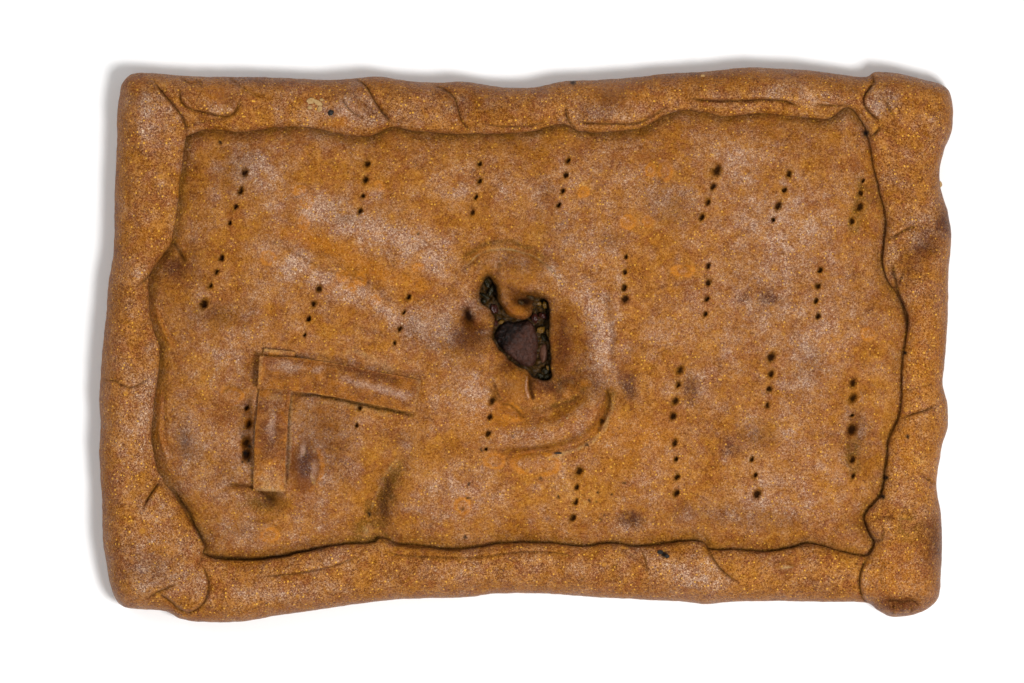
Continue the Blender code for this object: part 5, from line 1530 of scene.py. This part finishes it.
def crust_look(name, tone, grain, speckle):
    """Baked dough: brown tones by how toasted it is, a wrinkled skin with a painted pale sheen and painted
    glints, dots, and painted shade in creases and holes.
    """
    look = Look(name)
    paints = (look.attribute(kind) for kind in KINDS)
    toast_and_shade, plum, olive_and_shade, red, orange, honey_and_highlight, pale_and_highlight, sheen, broad_sheen, gloss, char_and_shade, crease = paints
    grains = look.noise(1.4, 3.0, 0.6, 0.3)
    skin = look.noise(2.2, 4.0, 0.65, 0.5)
    fine = look.noise(0.62, 2.0, 0.6, 1.0)
    leather = look.noise(1.1, 3.0, 0.7, 0.8)
    blotchy = look.noise(6.0, 4.0, 0.65, 1.0)
    speckled = look.noise(2.0, 4.0, 0.65, 0.6)
    golden = look.between(look.noise(2.2, 3.0, 0.6, 0.6), 0.53, 0.60)
    mottled = look.between(look.noise(2.6, 3.0, 0.6, 1.0), 0.55, 0.63)
    rosy = look.between(look.noise(8.0, 4.0, 0.6, 1.2), 0.50, 0.59)
    tanned = look.between(look.noise(5.5, 3.0, 0.6, 1.0), 0.53, 0.60)
    wrinkle = look.math("ABSOLUTE", look.math("SUBTRACT", look.noise(1.3, 2.0, 0.6, 1.5), 0.5))
    lines = look.between(wrinkle, 0.0, 0.04, 1.0, 0.0)
    tones = look.sum(
        look.between(look.noise(15.0, 3.0, 0.55, 0.6), 0.0, 1.0, -0.30, 0.30),
        look.between(look.noise(4.6, 4.0, 0.6, 0.8), 0.0, 1.0, -0.34, 0.34),
        look.between(grains, 0.0, 1.0, -grain, grain),
        look.times(look.math("MINIMUM", toast_and_shade, 0.0), -0.35),
    )
    colour = look.ramp(look.math("ADD", tones, tone, clamp=True), CRUST_TONES)
    colour = look.mix(look.times(golden, 0.45), colour, (0.470, 0.185, 0.012))
    stained = look.math("MAXIMUM", look.math("MAXIMUM", orange, olive_and_shade), look.math("MAXIMUM", red, plum))
    # Painted sheen: a pale pinkish tint where the sheen paint lies, broken up, and weaker on stains
    sheen_amount = look.times(broad_sheen, look.between(stained, 0.0, 1.0, 1.0, 0.35))
    sheen_amount = look.times(sheen_amount, look.between(blotchy, 0.35, 0.65, 0.35, 1.65))
    sheen_amount = look.times(sheen_amount, look.between(leather, 0.35, 0.65, 0.4, 1.6), clamp=True)
    colour = look.mix(look.times(sheen_amount, 0.70), colour, (0.440, 0.222, 0.132))
    # Stain tints; the olive tint also carries painted shade, and the honey and pale tints painted highlights
    for share, tint in (
        (olive_and_shade, (0.180, 0.080, 0.008)),
        (orange, (0.430, 0.140, 0.008)),
        (red, (0.200, 0.056, 0.010)),
        (honey_and_highlight, (0.560, 0.190, 0.012)),
        (plum, (0.092, 0.026, 0.015)),
        (pale_and_highlight, (0.540, 0.340, 0.140)),
        (sheen, (0.470, 0.240, 0.145)),
    ):
        broken = look.times(share, look.between(speckled, 0.3, 0.7, 0.6, 1.4))
        colour = look.mix(look.times(look.between(broken, 0.2, 0.8), 0.9), colour, tint)
    small = look.dots(1.6, 0.55, 0.85)
    rough_skin = look.between(gloss, 0.0, 1.0, speckle, 0.5 * speckle)
    lit = look.math("ADD", sheen_amount, look.times(sheen, 0.8), clamp=True)
    # Mottles, grain and dots; the dark wrinkle lines, whitish flecks and whitish dots are painted glints and
    # texture of the sheen
    for share, amount, tint in (
        (rosy, 0.45, (0.270, 0.072, 0.022)),
        (tanned, 0.38, (0.520, 0.205, 0.036)),
        (mottled, 0.38, (0.180, 0.060, 0.022)),
        (lines, look.times(lit, 0.80), (0.180, 0.075, 0.028)),
        (look.between(fine, 0.51, 0.64), 0.42, (0.580, 0.270, 0.070)),
        (look.between(fine, 0.51, 0.61), look.times(lit, 0.85), (0.680, 0.440, 0.280)),
        (look.dots(1.5, 0.42, 0.8), look.times(sheen_amount, 1.2), (0.820, 0.600, 0.400)),
        (look.between(fine, 0.49, 0.36), 0.60, (0.110, 0.030, 0.004)),
        (small, 0.75, (0.800, 0.390, 0.050)),
        (look.dots(6.5, 1.5, 0.6), 0.45, (0.540, 0.230, 0.030)),
        (look.dots(2.7, 0.6, 0.45), 0.45, (0.100, 0.032, 0.012)),
    ):
        colour = look.mix(look.times(look.times(share, rough_skin), amount, clamp=True), colour, tint)
    # Darker where toasted and in painted shade, and nearly black in the painted shade of creases, pricks and
    # holes and in char
    colour = look.mix(look.times(toast_and_shade, 1.0, clamp=True), colour, (0.38, 0.32, 0.24), "MULTIPLY")
    colour = look.mix(look.times(crease, 0.97, clamp=True), colour, (0.014, 0.005, 0.002))
    colour = look.mix(look.times(char_and_shade, 1.0, clamp=True), colour, (0.010, 0.008, 0.007))
    roughness = look.sum(
        look.between(look.noise(3.0, 3.0, 0.6), 0.3, 0.7, 0.24, 0.38),
        look.times(gloss, -0.10),
        look.times(crease, 0.4),
    )
    dull = look.between(look.math("MAXIMUM", crease, char_and_shade), 0.0, 1.0, 1.0, 0.1)
    raised = look.math("MAXIMUM", lit, look.times(gloss, 0.15))
    lively = look.times(look.between(raised, 0.0, 1.0, 0.05, 0.75), dull)
    look.set(look.shader, {"Specular IOR Level": lively})
    heights = [(skin, 0.55), (wrinkle, -0.70), (grains, 0.36), (fine, 0.16), (small, 0.12)]
    return look.finish(colour, look.between(roughness, 0.0, 1.0), heights, IOR=1.5)


def wet_look(name, dark, light, size, roughness, bump, shine):
    """Moist cooked food: two tones in patches, with painted light and shade from a piece's light attribute,
    and a wet shine.
    """
    look = Look(name)
    patches = look.between(look.noise(size, 4.0, 0.65, 0.5), 0.3, 0.7)
    # The light attribute adds painted light and shade on the lumps' facets
    share = look.math("ADD", patches, look.attribute("light"))
    colour = look.ramp(look.times(share, 0.62, clamp=True), [(0.0, dark), (1.0, light)])
    rough = look.between(look.noise(1.5, 3.0, 0.6), 0.3, 0.7, roughness, roughness + 0.15)
    heights = [(look.noise(1.1, 3.0, 0.6), bump), (look.noise(0.45, 2.0, 0.6), 0.4 * bump)]
    return look.finish(colour, rough, heights, Specular_IOR_Level=shine)


def make_floor():
    """A plain pale floor."""
    half = 3.0
    corners = [(-half, -half, 0), (half, -half, 0), (half, half, 0), (-half, half, 0)]
    mesh = bpy.data.meshes.new("floor")
    mesh.from_pydata(corners, [], [(0, 1, 2, 3)])
    material = bpy.data.materials.new("floor")
    material.use_nodes = True
    shader = material.node_tree.nodes["Principled BSDF"]
    shader.inputs["Base Color"].default_value = (0.97, 0.97, 0.97, 1.0)
    shader.inputs["Roughness"].default_value = 0.9
    mesh.materials.append(material)
    floor = link("floor", mesh)
    floor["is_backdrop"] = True


def make_camera():
    """Straight above, far away, with a long lens."""
    distance = 5.0
    level = 20.0 * MM
    centre = plan((0.5 * VIEW_FRAME[0], 0.5 * VIEW_FRAME[1])) * MM
    lens = bpy.data.cameras.new("camera")
    lens.sensor_width = 36.0
    lens.lens = lens.sensor_width * distance / (VIEW_FRAME[0] * LENGTH / VIEW_LENGTH * MM)
    lens.clip_start = 0.1
    lens.clip_end = 20.0
    camera = link("camera", lens)
    camera.location = (centre[0], centre[1], level + distance)
    bpy.context.scene.camera = camera


def make_light(name, place, size, watts):
    """A square soft light that faces the pie."""
    lamp = bpy.data.lights.new(name, "AREA")
    lamp.shape = "SQUARE"
    lamp.size = size
    lamp.energy = watts
    body = link(name, lamp)
    body.location = place
    body.rotation_euler = (-Vector(place)).to_track_quat("-Z", "Y").to_euler()


def make_lights():
    """A strong light above the right side, a weak one on the left, and an even glow all round."""
    make_light("overhead", (0.50, -0.42, 1.45), 0.40, 22.6)
    make_light("left", (-0.9, 0.7, 1.2), 0.9, 6.5)
    world = bpy.data.worlds.new("surroundings")
    world.use_nodes = True
    world.node_tree.nodes["Background"].inputs["Color"].default_value = (1.0, 1.0, 1.0, 1.0)
    world.node_tree.nodes["Background"].inputs["Strength"].default_value = 0.32
    bpy.context.scene.world = world
    bpy.context.scene.view_settings.view_transform = "Standard"


def dress(piece, slot, *nodes):
    """Puts a piece on the root and hides the solids that it stands for; the slot is not used."""
    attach(piece, "root")
    if nodes:
        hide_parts(*nodes)


rim_look, lid_look, strip_look = (crust_look(name, *values) for name, values in CRUST_LOOKS.items())
wet = {name: wet_look(name, *values) for name, values in WET_LOOKS.items()}

dress(make_rim(rim_look), "crust_rim", "base_crust")
dress(make_lid(lid_look), "crust_lid", "lid")
dress(make_filling(wet["filling"]), "filling", "filling")
meat_chunk = make_chunk("meat_chunk", MEAT_VIEW, 5.8, MEAT_RIDGE, 0.75, wet["meat"], 101)
meat_sliver = make_chunk("meat_sliver", SLIVER_VIEW, 3.4, SLIVER_RIDGE, 0.2, wet["meat_pale"], 103)
dress(meat_chunk, "meat", "meat_large")
dress(meat_sliver, "meat", "meat_small")
short_strip, long_strip = make_strips(strip_look)
dress(short_strip, "dough_strip", "strip_short")
dress(long_strip, "dough_strip", "strip_long")
dress(make_bits("greens", filling_top, wet["greens"], 111), "pepper", "pepper_piece")
dress(make_bits("onion_bits", filling_top, wet["onion"], 113), "filling")
dress(make_bits("pepper_bits", filling_top, wet["pepper"], 115), "pepper")
dress(make_bits("shreds", crust_top, wet["filling"], 117), "filling")
dress(make_bits("flakes", crust_top, wet["flakes"], 119), "crust_rim")
dress(make_bits("charred_bits", crust_top, wet["charred"], 121), "crust_rim")

make_floor()
make_camera()
make_lights()

seen_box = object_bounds()
({name: [[round(v, 6) for v in corner] for corner in box]
           for name, box in (("solids", solid_box), ("looks", seen_box))})
